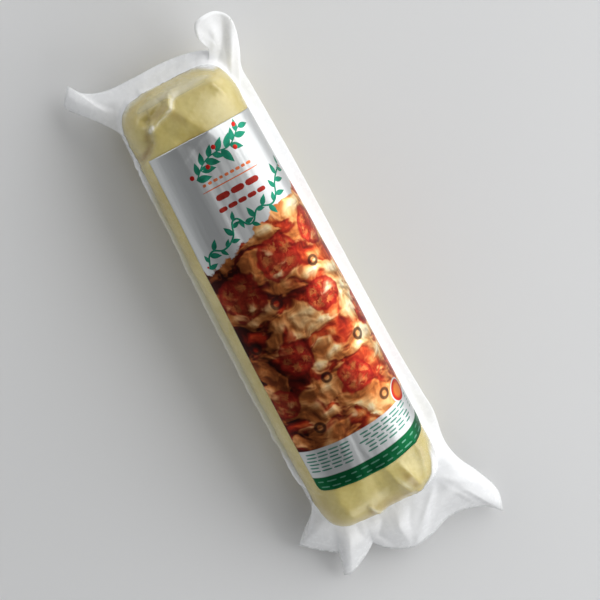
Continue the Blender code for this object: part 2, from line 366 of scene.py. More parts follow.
    def crown_angles(self) -> Points:
        """Angles of the rings from the crown down to the waist."""
        return np.linspace(self.crown_angle, 0, self.crown_rows)

    def base_angle(self) -> float:
        """Find where the skin meets the flat underside.

        Returns:
            Angle in degrees, below 0.
        """
        drop = self.waist_height / self.crown_rise
        out = (1 - drop ** self.section_power) ** (1 / self.section_power)
        return -math.degrees(math.atan2(drop, out))

    def spine_points(self, y: Points, height: float) -> Points:
        """Points over the spine, raised by the relief where they lie on the crown.

        Args:
            y: Places along the loaf, in metres.
            height: Height of the points, in metres.

        Returns:
            Points in space.
        """
        points = np.stack([0 * y, y, np.full_like(y, height)], axis=1)
        points[:, 2] += self.relief(points)
        return points

    def relief(self, points: Points) -> Points:
        """Height that the cheese's folds, flutes and unevenness add to its upper skin.

        Args:
            points: Points of the plain skin.

        Returns:
            Height in metres along the skin's normal.
        """
        x, y = points[..., 0] / MM, points[..., 1] / MM
        height = self.crease_gain * sum(crease.relief(x, y) for crease in self.creases)
        sway = self.sway * np.sin(y / self.sway_length)
        for flute in self.flutes:
            height = height + flute.relief(x, sway)
        width, length, slant = self.lump_size
        along, across = self.lump_start
        height = height + (self.lump_rise * np.sin(y / length + along)
                           * np.sin(x / width + y / slant + across))
        width, length = self.dent_size
        height = height + self.dent_rise * np.sin(y / length + x / width)
        low = self.waist_height
        return height * MM * smooth_step(low, low + self.relief_fade, points[..., 2])

    def gathers(self, stations: Points, angle: float) -> Points:
        """Pleats of the tight film: short ones beside its seam, slanting ones on the bare flank.

        Args:
            stations: Stations of the ring's points.
            angle: Angle of the ring, in degrees.

        Returns:
            Height in metres at each station.
        """
        random = np.random.default_rng(self.gather_seed)
        height = np.zeros_like(stations)
        middle_of_side = STATIONS / 4
        for _ in range(self.gather_count):
            at = random.uniform(0, STATIONS)
            on_side = abs(at % (STATIONS / 2) - middle_of_side) <= self.side_half
            sizes = self.side_pleats if on_side else self.end_pleats
            height += sizes.draw(random, stations - at, abs(angle))
        bare = float(smooth_step(*self.flank_top, np.array(angle))
                     * smooth_step(*self.flank_foot, np.array(abs(angle))))
        for _ in range(self.slant_count):
            at, middle = random.uniform(*self.flank_stations), random.uniform(*self.flank_angles)
            height += self.flank_pleats.draw(random, stations - at, angle - middle, bare)
        return height * MM


# Edge of the pouch, clockwise from the middle of the head, seen from above: the station round
# the loaf and the place in millimetres. At some stations it turns sharply.
HEAD_EDGE = ((0, 1.7, 137.6, 20), (0.17, 13, 136.6, 20), (0.33, 23, 134.4, 21),
             (0.42, 29.3, 131.6, 24))
HEAD_RIGHT_EAR = ((0.45, 27.4, 135.6, 30), (0.49, 25.3, 141.7, 34), (0.53, 27, 147.8, 36),
                  (0.57, 31, 149.6, 36), (0.62, 39, 149.3, 33), (0.68, 45, 144, 30),
                  (0.73, 46, 136.5, 27), (0.8, 43, 125, 24), (0.86, 39.6, 116.5, 23))
RIGHT_FIN = ((0.93, 39.9, 106, 23), (1.2, 41.7, 57.6, 23), (1.75, 43.4, -49.9, 23),
             (1.95, 45.2, -86, 23), (2.06, 46, -98, 23), (2.2, 43.8, -116, 22))
FOOT_RIGHT_EAR = ((2.3, 46.5, -130, 19), (2.38, 54.5, -147.5, 12), (2.44, 58.8, -162, 9),
                  (2.48, 56.2, -174.5, 7), (2.53, 49, -166.8, 9), (2.6, 38, -161.2, 12))
FOOT_LOBE = ((2.68, 27, -160.2, 12), (2.8, 14, -165.2, 10), (2.97, 0, -165.9, 10),
             (3.16, -10.5, -159.6, 12), (3.28, -17.5, -151.1, 15))
FOOT_TIP = ((3.34, -25, -157.2, 11), (3.41, -36, -163.5, 7), (3.44, -40, -162.4, 6),
            (3.52, -36.8, -147.8, 11))
FOOT_LEFT_EAR = ((3.58, -46, -141.7, 8), (3.64, -54.5, -133.8, 7), (3.72, -46.4, -125.2, 10),
                 (3.82, -38.5, -117.3, 14))
LEFT_FIN = ((3.93, -37.3, -106, 17), (4.05, -37.6, -86, 17), (4.5, -36.6, 0, 17),
            (4.95, -34, 86, 17), (5.14, -33, 110, 17), (5.22, -32.9, 119, 17))
HEAD_LEFT_EAR = ((5.3, -37, 127.6, 15), (5.36, -47, 134.3, 13), (5.4, -51.8, 141.2, 12),
                 (5.43, -45.1, 149.4, 12), (5.47, -40, 142.6, 14), (5.55, -30, 138.5, 17),
                 (5.72, -15, 137.6, 19))
POUCH_EDGE = (HEAD_EDGE + HEAD_RIGHT_EAR + RIGHT_FIN + FOOT_RIGHT_EAR + FOOT_LOBE + FOOT_TIP
              + FOOT_LEFT_EAR + LEFT_FIN + HEAD_LEFT_EAR)
SHARP_STATIONS = (0.42, 2.48, 3.28, 3.44, 3.52, 3.64, 5.43)


def edge_point(station: float) -> Points:
    """Point of the pouch's edge, on a smooth curve that is broken at its sharp points.

    Args:
        station: Place round the loaf.

    Returns:
        Point in space.
    """
    count = len(POUCH_EDGE)
    after = next((i for i, p in enumerate(POUCH_EDGE) if p[0] > station), count)
    places, points, sharp = [], [], []
    for index in range(after - 2, after + 2):
        turns, place = divmod(index, count)
        at, *spot = POUCH_EDGE[place]
        places.append(at + turns * STATIONS)
        points.append(np.array(spot) * MM)
        sharp.append(at in SHARP_STATIONS)
    span = places[2] - places[1]
    chord = (points[2] - points[1]) / span
    leave = chord if sharp[1] else (points[2] - points[0]) / (places[2] - places[0])
    arrive = chord if sharp[2] else (points[3] - points[1]) / (places[3] - places[1])
    t = (station - places[1]) / span
    return (points[1] * (2 * t ** 3 - 3 * t * t + 1) + points[2] * (3 * t * t - 2 * t ** 3)
            + leave * span * (t ** 3 - 2 * t * t + t) + arrive * span * (t ** 3 - t * t))


def mesh_object(name: str, vertices: Points, faces: Sequence[Sequence[int]],
                material: bpy.types.Material) -> bpy.types.Object:
    """Make a smooth-shaded object that sits at the origin.

    Args:
        name: Name of the piece.
        vertices: Points in metres.
        faces: Corners of each face, anticlockwise from outside.
        material: Finish of the piece.

    Returns:
        The new object, linked to the scene.
    """
    data = bpy.data.meshes.new(name)
    data.from_pydata(vertices.tolist(), [], faces)
    data.materials.append(material)
    data.shade_smooth()
    piece = bpy.data.objects.new(name, data)
    bpy.context.scene.collection.objects.link(piece)
    return piece


def paint_points(piece: bpy.types.Object, name: str, values: Points) -> None:
    """Store a value for each point of a piece, for its finish to read."""
    layer = piece.data.attributes.new(name, "FLOAT", "POINT")
    layer.data.foreach_set("value", values.astype(np.float32))


def ring_faces(rows: int, count: int) -> list[Sequence[int]]:
    """Join closed rings of points with quads.

    Args:
        rows: Number of rings, counted outwards.
        count: Number of points in each.

    Returns:
        Corners of each quad.
    """
    after = np.arange(rows * count).reshape(rows, count)
    at = np.roll(after, 1, axis=1)
    return np.stack([at[:-1], after[:-1], after[1:], at[1:]], axis=-1).reshape(-1, 4).tolist()


def capped(rings: Points, form: LoafForm, top: float, bottom: float) -> tuple[Points, list]:
    """Close a stack of rings with faces from its first and last ring to the spine.

    Args:
        rings: Grid of rings, from the crown out and back under to the underside.
        form: Form of the loaf that they enclose.
        top: Height of the crown's spine before relief, in metres.
        bottom: Height of the underside's spine, in metres.

    Returns:
        Vertices and faces of the closed mesh.
    """
    rows, count = rings.shape[:2]
    vertices = [rings.reshape(-1, 3)]
    faces = ring_faces(rows, count)
    total, half = rows * count, form.spine_half
    for start, height, is_up in ((0, top, True), ((rows - 1) * count, bottom, False)):
        along = np.round(np.clip(vertices[0][start:start + count, 1], -half, half), MICRON_DIGITS)
        places = list(dict.fromkeys(along.tolist()))
        vertices.append(form.spine_points(np.array(places), height))
        index = {y: total + i for i, y in enumerate(places)}
        total += len(places)
        for k in range(count):
            corners = (start + k, start + (k - 1) % count, index[along[k - 1]], index[along[k]])
            corners = tuple(dict.fromkeys(corners))
            faces.append(corners if is_up else corners[::-1])
    return np.concatenate(vertices), faces


@dataclass(frozen=True)
class Noise:
    """Size of a noise pattern.

    Args:
        scale: Lumps in a millimetre.
        detail: Layers of finer noise.
        warp: How far the pattern is pulled about.
    """

    scale: float
    detail: float = 3.0
    warp: float = 0.0


@dataclass(frozen=True)
class Fade:
    """A smooth step.

    Args:
        low: Value at which it begins.
        high: Value at which it ends.
        start: Result at its beginning.
        end: Result at its end.
    """

    low: float
    high: float
    start: float = 0.0
    end: float = 1.0

    def wider(self, factor: float) -> "Fade":
        """The same step over a wider span."""
        return Fade(self.low * factor, self.high * factor, self.start, self.end)


class Kind(Enum):
    """Kind of a socket on the edge of a tree."""

    NUMBER = "NodeSocketFloat"
    WHOLE = "NodeSocketInt"
    VECTOR = "NodeSocketVector"
    COLOUR = "NodeSocketColor"
    MATERIAL = "NodeSocketMaterial"
    GEOMETRY = "NodeSocketGeometry"


class Desk:
    """Short ways to add nodes to a tree."""

    def __init__(self, tree: bpy.types.NodeTree) -> None:
        """Work on one tree."""
        self.tree = tree

    def put(self, node: bpy.types.Node, inputs: dict[str | int, object]) -> None:
        """Link or set inputs of a node.

        Args:
            node: Node that takes them.
            inputs: Socket or value for each, by its name or number. A colour is made opaque.
        """
        for key, value in inputs.items():
            socket = node.inputs[key]
            if isinstance(value, bpy.types.NodeSocket):
                self.tree.links.new(value, socket)
            else:
                socket.default_value = (*value[:3], 1) if socket.type == "RGBA" else value

    def node(self, kind: str, inputs: dict[str | int, object] | None = None,
             **settings: object) -> bpy.types.Node:
        """Add a node.

        Args:
            kind: Blender's name of its type.
            inputs: Socket or value for each input.
            settings: Its properties.

        Returns:
            The new node.
        """
        node = self.tree.nodes.new(kind)
        for key, value in settings.items():
            setattr(node, key, value)
        self.put(node, inputs or {})
        return node

    def math(self, operation: str, *values: Socket | float) -> Socket:
        """Result of a Math node."""
        return self.node("ShaderNodeMath", dict(enumerate(values)), operation=operation).outputs[0]

    def plus(self, first: Socket | float, second: Socket | float) -> Socket:
        """Sum of two numbers."""
        return self.math("ADD", first, second)

    def minus(self, first: Socket | float, second: Socket | float) -> Socket:
        """Difference of two numbers."""
        return self.math("SUBTRACT", first, second)

    def times(self, first: Socket | float, second: Socket | float) -> Socket:
        """Product of two numbers."""
        return self.math("MULTIPLY", first, second)

    def vector(self, operation: str, *values: Value, **named: Value) -> Socket:
        """Result of a Vector Math node, which is a number for a length or a distance."""
        result = "Value" if operation in ("LENGTH", "DISTANCE") else "Vector"
        return self.node("ShaderNodeVectorMath", dict(enumerate(values)) | named,
                         operation=operation).outputs[result]

    def split(self, vector: Socket) -> tuple[Socket, ...]:
        """X, Y and Z of a vector."""
        return tuple(self.node("ShaderNodeSeparateXYZ", {0: vector}).outputs)

    def join(self, x: Socket | float, y: Socket | float, z: Socket | float) -> Socket:
        """Vector of three numbers."""
        return self.node("ShaderNodeCombineXYZ", {0: x, 1: y, 2: z}).outputs[0]

    def ease(self, value: Socket, fade: Fade) -> Socket:
        """Value taken through a smooth step."""
        return self.node("ShaderNodeMapRange", {
            "Value": value, "From Min": fade.low, "From Max": fade.high, "To Min": fade.start,
            "To Max": fade.end}, interpolation_type="SMOOTHSTEP").outputs["Result"]

    def noise(self, place: Socket, noise: Noise, output: str = "Fac") -> Socket:
        """Values from 0 to 1 of a Noise texture: Fac is one, Color is three."""
        return self.node("ShaderNodeTexNoise", {
            "Vector": place, "Scale": noise.scale, "Detail": noise.detail,
            "Distortion": noise.warp}).outputs[output]

    def mix(self, share: Socket | float, below: Value, above: Value,
            blend: str = "MIX") -> Socket:
        """Lay one colour over another.

        Args:
            share: How much of the colour above shows.
            below: Colour below.
            above: Colour above.
            blend: Blender's name for the way they mix.

        Returns:
            Mixed colour.
        """
        inputs = {"Factor": share, MIX_BELOW: below, MIX_ABOVE: above}
        mixed = self.node("ShaderNodeMix", inputs, data_type="RGBA", blend_type=blend)
        return mixed.outputs[MIX_RESULT]

    def ramp(self, value: Socket, stops: Sequence[tuple[float, Colour]]) -> Socket:
        """Turn a number into a colour.

        Args:
            value: Number from 0 to 1.
            stops: Places of the ramp, each with its colour.

        Returns:
            Colour at the value.
        """
        node = self.node("ShaderNodeValToRGB", {"Fac": value})
        elements = node.color_ramp.elements
        while len(elements) < len(stops):
            elements.new(0.5)
        for element, (place, colour) in zip(elements, stops):
            element.position = place
            element.color = (*colour, 1)
        return node.outputs["Color"]

    def bump(self, height: Socket, strength: float, depth: float) -> Socket:
        """Normal tilted by a pattern of heights, whose depth is in metres."""
        return self.node("ShaderNodeBump", {"Strength": strength, "Distance": depth,
                                            "Height": height}).outputs["Normal"]

    def place(self) -> Socket:
        """Object coordinates in millimetres."""
        spot = self.node("ShaderNodeTexCoord").outputs["Object"]
        return self.vector("SCALE", spot, Scale=1 / MM)

    def attribute(self, name: str) -> Socket:
        """Number that the mesh holds for each of its points."""
        return self.node("ShaderNodeAttribute", attribute_name=name).outputs["Fac"]


class GroupDesk(Desk):
    """Desk for a tree of its own with named inputs and outputs."""

    def __init__(self, name: str, kind: str = "ShaderNodeTree") -> None:
        """Start a tree of a name and a kind."""
        super().__init__(bpy.data.node_groups.new(name, kind))
        self.given, self.result = self.node("NodeGroupInput"), self.node("NodeGroupOutput")

    def ask(self, name: str, kind: Kind = Kind.NUMBER) -> Socket:
        """Add a named input, and give the socket that carries it."""
        self.tree.interface.new_socket(name, in_out="INPUT", socket_type=kind.value)
        return self.given.outputs[name]

    def give(self, name: str, value: Socket, kind: Kind = Kind.NUMBER) -> None:
        """Add a named output, and link it to its value."""
        self.tree.interface.new_socket(name, in_out="OUTPUT", socket_type=kind.value)
        self.put(self.result, {name: value})


@dataclass(frozen=True)
class Paint:
    """Builds a node-based material of its own name around one Principled shader."""

    name: str

    def start(self) -> tuple[bpy.types.Material, Desk, bpy.types.Node]:
        """Start the material.

        Returns:
            New material, the desk for its nodes and its Principled shader.
        """
        material = bpy.data.materials.new(self.name)
        material.use_nodes = True
        tree = material.node_tree
        return material, Desk(tree), tree.nodes["Principled BSDF"]


@dataclass(frozen=True)
class CheeseFinish(Paint):
    """Pale yellow cheese, slightly see-through at its surface, with the film's gloss on it.

    Distances are in millimetres. The rim's colour comes in at the loaf's ends and low on its
    sides, and the shade's colour is painted shade along the cheese's creases.
    """

    pale: Colour = (0.685, 0.575, 0.205)
    deep: Colour = (0.55, 0.437, 0.108)
    rim: Colour = (0.56, 0.425, 0.118)
    # Painted shade: the colour that the cheese darkens to along its creases and hollows.
    shade: Colour = (0.38, 0.235, 0.040)
    clouds: Noise = Noise(0.045, 4, 0.6)
    specks: Noise = Noise(0.5)
    speck_share: float = 0.2
    tone: Fade = Fade(0.35, 0.65)
    rim_ends: Fade = Fade(112, 126)
    rim_low: Fade = Fade(30, 10)
    rim_share: float = 0.4
    roughness: Fade = Fade(0.3, 0.7, 0.38, 0.52)
    glow: float = 0.12
    glow_reach: Place = (1.0, 0.7, 0.35)
    glow_depth: float = 4 * MM
    coat_ior: float = 1.58
    gloss_roughness: float = 0.26
    ripple: Noise = Noise(0.22, 2, 0.4)
    grain: Noise = Noise(1.6, 4)
    grain_share: float = 0.08
    bump_strength: float = 0.5
    bump_depth: float = 0.5 * MM

    def build(self) -> bpy.types.Material:
        """Mix the cheese's colours, gloss and relief.

        Returns:
            The material.
        """
        material, desk, shader = self.start()
        place = desk.place()
        clouds, specks = desk.noise(place, self.clouds), desk.noise(place, self.specks)
        tone = desk.plus(desk.times(clouds, 1 - self.speck_share),
                         desk.times(specks, self.speck_share))
        colour = desk.mix(desk.ease(tone, self.tone), self.pale, self.deep)
        _, along, height = desk.split(place)
        end = desk.ease(desk.math("ABSOLUTE", along), self.rim_ends)
        low = desk.ease(height, self.rim_low)
        rim = desk.times(desk.math("MAXIMUM", end, low), self.rim_share)
        colour = desk.mix(rim, colour, self.rim)
        # Painted shade along the creases, as strong as the mesh's attribute says.
        colour = desk.mix(desk.attribute("painted_shade_line"), colour, self.shade)
        ripple, grain = desk.noise(place, self.ripple), desk.noise(place, self.grain)
        relief = desk.plus(ripple, desk.times(grain, self.grain_share))
        normal = desk.bump(relief, self.bump_strength, self.bump_depth)
        desk.put(shader, {
            "Base Color": colour, "Roughness": desk.ease(specks, self.roughness),
            "Subsurface Weight": self.glow, "Subsurface Radius": self.glow_reach,
            "Subsurface Scale": self.glow_depth, "Coat Weight": 1.0, "Coat IOR": self.coat_ior,
            "Coat Roughness": self.gloss_roughness, "Normal": normal, "Coat Normal": normal})
        return material


@dataclass(frozen=True)
class FilmFinish(Paint):
    """Clear glossy film, milky where the mesh's haze attribute says so.

    The warm colour is the film's where it clings to the cheese, whose light passes through it.
    """

    tint: Colour = (0.955, 0.965, 0.975)
    dim: float = 0.992
    warm: Colour = (0.915, 0.89, 0.64)
    loose: Fade = Fade(0.30, 0.75)
    smears: Noise = Noise(0.07, 3, 1.2)
    smear_tone: Fade = Fade(0.35, 0.65)
    smear_haze: Fade = Fade(0.3, 0.7, 0.985, 1.015)
    blotches: Noise = Noise(0.3)
    roughness: Fade = Fade(0.3, 0.7, 0.23, 0.30)
    ripple: Noise = Noise(0.12, 2, 1.5)
    bump_strength: float = 0.04
    bump_depth: float = 0.8 * MM
    specular: float = 0.5
    coat: float = 0.35
    coat_roughness: float = 0.14

    def build(self) -> bpy.types.Material:
        """Mix the film's haze, colour and gloss.

        Returns:
            The material.
        """
        material, desk, shader = self.start()
        place, haze = desk.place(), desk.attribute("haze")
        smears = desk.noise(place, self.smears)
        dark = tuple(part * self.dim for part in self.tint)
        tone = desk.mix(desk.ease(smears, self.smear_tone), self.tint, dark)
        tone = desk.mix(desk.ease(haze, self.loose), self.warm, tone)
        normal = desk.bump(desk.noise(place, self.ripple), self.bump_strength, self.bump_depth)
        desk.put(shader, {
            "Alpha": desk.times(haze, desk.ease(smears, self.smear_haze)), "Base Color": tone,
            "Roughness": desk.ease(desk.noise(place, self.blotches), self.roughness),
            "Normal": normal, "Coat Normal": normal, "Specular IOR Level": self.specular,
            "Coat Weight": self.coat, "Coat Roughness": self.coat_roughness})
        return material


@dataclass(frozen=True)
class InkFinish(Paint):
    """One printed colour with the label's own sheen, which drifts to a fade in patches."""

    colour: Colour
    fade: Colour
    patches: Noise = Noise(0.25)
    drift: Fade = Fade(0.3, 0.7)
    roughness: Fade = Fade(0.3, 0.7, 0.34, 0.42)

    def build(self) -> bpy.types.Material:
        """Mix the ink's colours.

        Returns:
            The material.
        """
        material, desk, shader = self.start()
        patches = desk.noise(desk.place(), self.patches)
        desk.put(shader, {
            "Base Color": desk.mix(desk.ease(patches, self.drift), self.colour, self.fade),
            "Roughness": desk.ease(patches, self.roughness), "Metallic": LabelFinish.pearl})
        return material


@dataclass(frozen=True)
class Slice:
    """A round slice printed in the label's picture.

    Its middle is across from the crown and along the label in millimetres, as is its radius. The
    turn of its chambers is in radians, and its shade is 1 where it is bright.
    """

    across: float
    along: float
    radius: float
    turn: float
    shade: float


@dataclass(frozen=True)
class SliceFinish:
    """How each printed slice is drawn: its reach is 0 at its middle and 1 at its edge.

    The hub and the hull are where its seed chambers begin and end. A slow noise makes its
    outline wobble, and a fine one bends the chambers and varies the colours.
    """

    skin: Colour = (0.34, 0.010, 0.006)
    flesh: Colour = (0.60, 0.040, 0.018)
    seeds: Colour = (0.72, 0.21, 0.06)
    dark: Colour = (0.02, 0.002, 0.001)
    edge: Fade = Fade(1.08, 0.92)
    rim: Fade = Fade(0.76, 0.98)
    chambers: float = 5.0
    hub: Fade = Fade(0.20, 0.50)
    hull: Fade = Fade(0.86, 0.60)
    walls: Fade = Fade(-0.7, 0.8)
    wobble: Fade = Fade(0.2, 0.8, 0.80, 1.20)
    bend: Fade = Fade(0.2, 0.8, -0.35, 0.35)
    ripe: Fade = Fade(0.3, 0.7)
    wet: Fade = Fade(0.3, 0.6, 0.45, 0.95)

    def group(self) -> bpy.types.NodeTree:
        """Draw one slice.

        Returns:
            Node group that gives the slice's colour and its mask at a place.
        """
        desk = GroupDesk("printed_slice")
        place, centre = desk.ask("Place", Kind.VECTOR), desk.ask("Centre", Kind.VECTOR)
        radius, turn, shade, wobble, juice = (
            desk.ask(name) for name in ("Radius", "Turn", "Shade", "Wobble", "Juice"))
        offset = desk.vector("SUBTRACT", place, centre)
        reach = desk.math("DIVIDE", desk.vector("LENGTH", offset),
                          desk.times(radius, desk.ease(wobble, self.wobble)))
        x, y, _ = desk.split(offset)
        angle = desk.plus(desk.math("ARCTAN2", y, x), desk.ease(juice, self.bend))
        wave = desk.math("SINE", desk.times(desk.plus(angle, turn), self.chambers))
        ring = desk.times(desk.ease(reach, self.hub), desk.ease(reach, self.hull))
        chamber = desk.times(desk.ease(wave, self.walls), ring)
        colour = desk.mix(desk.ease(juice, self.ripe), self.skin, self.flesh)
        colour = desk.mix(desk.times(chamber, desk.ease(juice, self.wet)), colour, self.seeds)
        colour = desk.mix(desk.ease(reach, self.rim), colour, self.skin)
        colour = desk.mix(desk.minus(1.0, shade), colour, self.dark)
        desk.give("Colour", colour, Kind.COLOUR)
        desk.give("Mask", desk.ease(reach, self.edge))
        return desk.tree


@dataclass(frozen=True)
class ToppingFinish:
    """How the printed topping is drawn: its height, from lumps, crumbs and broad waves, and where
    it is melted. Lies are stretches across and along, and the push is in millimetres.
    """

    swirl: Noise = Noise(0.07, 1)
    push: Place = (11.0, 11.0, 0.0)
    lie: Place = (0.8, 1.2, 1.0)
    lump_scale: float = 0.115
    lump_blend: float = 0.5
    lump_edge: Fade = Fade(0.75, 0.05)
    crumbs: Noise = Noise(0.20, 2, 0.3)
    broad: Noise = Noise(0.045, 1)
    lump_share: float = 0.42
    crumb_share: float = 0.50
    broad_share: float = 0.50
    fold: Noise = Noise(0.06, 3, 0.5)
    fold_lie: Place = (0.8, 1.15, 1.0)
    melt: Fade = Fade(0.435, 0.515)

    def group(self) -> bpy.types.NodeTree:
        """Draw the topping.

        Returns:
            Node group that gives its height and how melted it is at a place.
        """
        desk = GroupDesk("printed_topping")
        given = desk.ask("Place", Kind.VECTOR)
        swirl = desk.noise(given, self.swirl, "Color")
        push = desk.vector("MULTIPLY", desk.vector("SUBTRACT", swirl, (0.5, 0.5, 0.5)), self.push)
        place = desk.vector("ADD", given, push)
        lie = desk.vector("MULTIPLY", place, self.lie)
        lumps = desk.node("ShaderNodeTexVoronoi", feature="SMOOTH_F1")
        desk.put(lumps, {"Vector": lie, "Scale": self.lump_scale, "Smoothness": self.lump_blend})
        lump = desk.ease(lumps.outputs["Distance"], self.lump_edge)
        height = desk.plus(desk.times(lump, self.lump_share),
                           desk.times(desk.noise(place, self.crumbs), self.crumb_share))
        broad = desk.times(desk.noise(lie, self.broad), self.broad_share)
        desk.give("Height", desk.plus(height, broad))
        fold = desk.noise(desk.vector("MULTIPLY", place, self.fold_lie), self.fold)
        desk.give("Melt", desk.ease(fold, self.melt))
        return desk.tree


@dataclass(frozen=True)
class LabelFinish(Paint):
    """Pearly white label with its printed fields of colour, in millimetres on the flat label.

    The seal is a stack of discs: reach, softness and colour of each. An olive is the place and
    radius of a dark ring. The light step is the way to the picture's own light.
    """

    pearl: float = 0.82
    paper: Colour = (0.665, 0.68, 0.68)
    band: Colour = (0.001, 0.115, 0.036)
    olive: Colour = (0.030, 0.005, 0.004)
    melted: tuple[tuple[float, Colour], ...] = (
        (0.26, (0.22, 0.045, 0.010)), (0.42, (0.52, 0.165, 0.040)), (0.54, (0.76, 0.370, 0.130)),
        (0.65, (0.86, 0.570, 0.265)), (0.79, (0.92, 0.760, 0.500)))
    sauce: tuple[tuple[float, Colour], ...] = (
        (0.24, (0.030, 0.002, 0.001)), (0.36, (0.12, 0.006, 0.002)), (0.46, (0.34, 0.020, 0.006)),
        (0.55, (0.56, 0.070, 0.018)), (0.64, (0.70, 0.20, 0.055)), (0.74, (0.78, 0.40, 0.15)),
        (0.88, (0.80, 0.56, 0.30)))
    sauce_gain: float = 0.62
    sauce_lift: float = 0.06
    melted_gain: float = 0.78
    drift: Fade = Fade(-34, 46, -0.14, 0.15)
    drift_share: float = 0.7
    melt_share: Fade = Fade(-32, 20, 0.65, 0.95)
    picture_foot: float = -76.5
    picture_head: Fade = Fade(-34, 40, 34.0, 52.0)
    ragged: Noise = Noise(0.13, 4)
    ragged_reach: float = 16.0
    head_soft: Fade = Fade(-0.5, 0.8)
    line_soft: float = 0.3
    band_head: float = -93.0
    seal_place: Place = (33.5, -73.0, 0.0)
    seal_radius: float = 5.6
    seal: tuple[tuple[float, float, Colour], ...] = (
        (1.14, 0.04, paper), (1.0, 0.04, (0.52, 0.016, 0.010)), (0.66, 0.22, (0.78, 0.22, 0.04)))
    light_step: Place = (1.1, 0.7, 0.0)
    slope_light: Fade = Fade(-0.20, 0.20, 0.62, 1.38)
    melt_bulge: float = 0.22
    topping: ToppingFinish = ToppingFinish()
    slice: SliceFinish = SliceFinish()
    wobble: Noise = Noise(0.10, 2)
    juice: Noise = Noise(0.42, 2, 0.6)
    slice_cover: Fade = Fade(0.98, 0.76, 0.12, 0.94)
    slices: tuple[Slice, ...] = (
        Slice(-19, 14, 12.5, 0.3, 0.45), Slice(8, 25, 12.0, 1.1, 0.80),
        Slice(34, 30, 10.5, 0.7, 1.0), Slice(20, -3, 9.0, 0.2, 0.92),
        Slice(-8, -26, 9.5, 0.9, 0.60), Slice(42, -24, 9.5, 0.1, 1.0),
        Slice(-25, -48, 8.5, 0.5, 0.45), Slice(15, -50, 9.5, 1.4, 0.88),
        Slice(46, -60, 8.5, 0.6, 1.0))
    olives: tuple[Place, ...] = (
        (-4, 4, 3.4), (-25, -14, 3.2), (27, -33, 3.4), (1, -43, 3.0), (-14, -66, 3.2),
        (24, -68, 3.2), (24, 14, 3.2))
    olive_rim: Fade = Fade(1.15, 0.85)
    olive_hole: Fade = Fade(0.30, 0.60, 0.0, 0.85)
    grain: Noise = Noise(3.0, 2)
    grain_tone: Fade = Fade(0.2, 0.8, 0.0, 0.10)
    grain_grey: Colour = (0.25, 0.25, 0.25)
    roughness: Fade = Fade(0.3, 0.7, 0.34, 0.42)
    waves: Noise = Noise(0.16, 2)
    wave_lie: Place = (1.0, 0.12, 1.0)
    bump_strength: float = 0.5
    bump_depth: float = 0.6 * MM

    def label_place(self, desk: Desk, label: "LabelSheet") -> Socket:
        """Find the place on the flat label: round from the crown, and along.

        Args:
            desk: Desk of the label's shader tree.
            label: Sheet whose flat map is read.

        Returns:
            Place in millimetres.
        """
        uv = desk.node("ShaderNodeUVMap", uv_map=label.map_name).outputs["UV"]
        size = ((label.right - label.left) / MM, (label.head - label.foot) / MM, 1)
        return desk.node("ShaderNodeMapping", {
            "Vector": uv, "Location": (label.left / MM, label.foot / MM, 0),
            "Scale": size}).outputs["Vector"]

    def add_slices(self, desk: Desk, place: Socket, height: Socket, colour: Socket) -> Socket:
        """Lay the slices and the dark rings on the picture.

        Args:
            desk: Desk of the label's shader tree.
            place: Place on the flat label.
            height: Height of the topping.
            colour: Colour of the topping.

        Returns:
            Colour of the picture.
        """
        group = self.slice.group()
        wobble, juice = desk.noise(place, self.wobble), desk.noise(place, self.juice)
        for item in self.slices:
            node = desk.node("ShaderNodeGroup", node_tree=group)
            desk.put(node, {"Place": place, "Centre": (item.across, item.along, 0),
                            "Radius": item.radius, "Turn": item.turn, "Shade": item.shade,
                            "Wobble": wobble, "Juice": juice})
            cover = desk.times(node.outputs["Mask"], desk.ease(height, self.slice_cover))
            colour = desk.mix(cover, colour, node.outputs["Colour"])
        for x, y, radius in self.olives:
            reach = desk.vector("DISTANCE", place, (x, y, 0))
            ring = desk.times(desk.ease(reach, self.olive_rim.wider(radius)),
                              desk.ease(reach, self.olive_hole.wider(radius)))
            colour = desk.mix(ring, colour, self.olive)
        return colour

    def picture(self, desk: Desk, place: Socket, across: Socket) -> Socket:
        """Draw the picture: baked sauce and melted patches, with slices and dark rings on them.

        Args:
            desk: Desk of the label's shader tree.
            place: Place on the flat label.
            across: Place round from the crown.

        Returns:
            Colour of the picture.
        """
        topping = self.topping.group()
        here, beside = (
            desk.node("ShaderNodeGroup", node_tree=topping) for _ in range(2))
        desk.put(here, {"Place": place})
        desk.put(beside, {"Place": desk.vector("ADD", place, self.light_step)})
        height, melt = here.outputs["Height"], here.outputs["Melt"]
        drift = desk.ease(across, self.drift)
        value = desk.plus(desk.times(height, self.sauce_gain), desk.plus(drift, self.sauce_lift))
        rich = desk.plus(desk.times(height, self.melted_gain),
                         desk.times(drift, self.drift_share))
        share = desk.times(melt, desk.ease(across, self.melt_share))
        colour = desk.mix(share, desk.ramp(value, self.sauce), desk.ramp(rich, self.melted))
        colour = self.add_slices(desk, place, height, colour)
        bulge = desk.times(desk.minus(melt, beside.outputs["Melt"]), self.melt_bulge)
        slope = desk.plus(desk.minus(height, beside.outputs["Height"]), bulge)
        lit = desk.ease(slope, self.slope_light)
        return desk.mix(1.0, colour, desk.join(lit, lit, lit), "MULTIPLY")

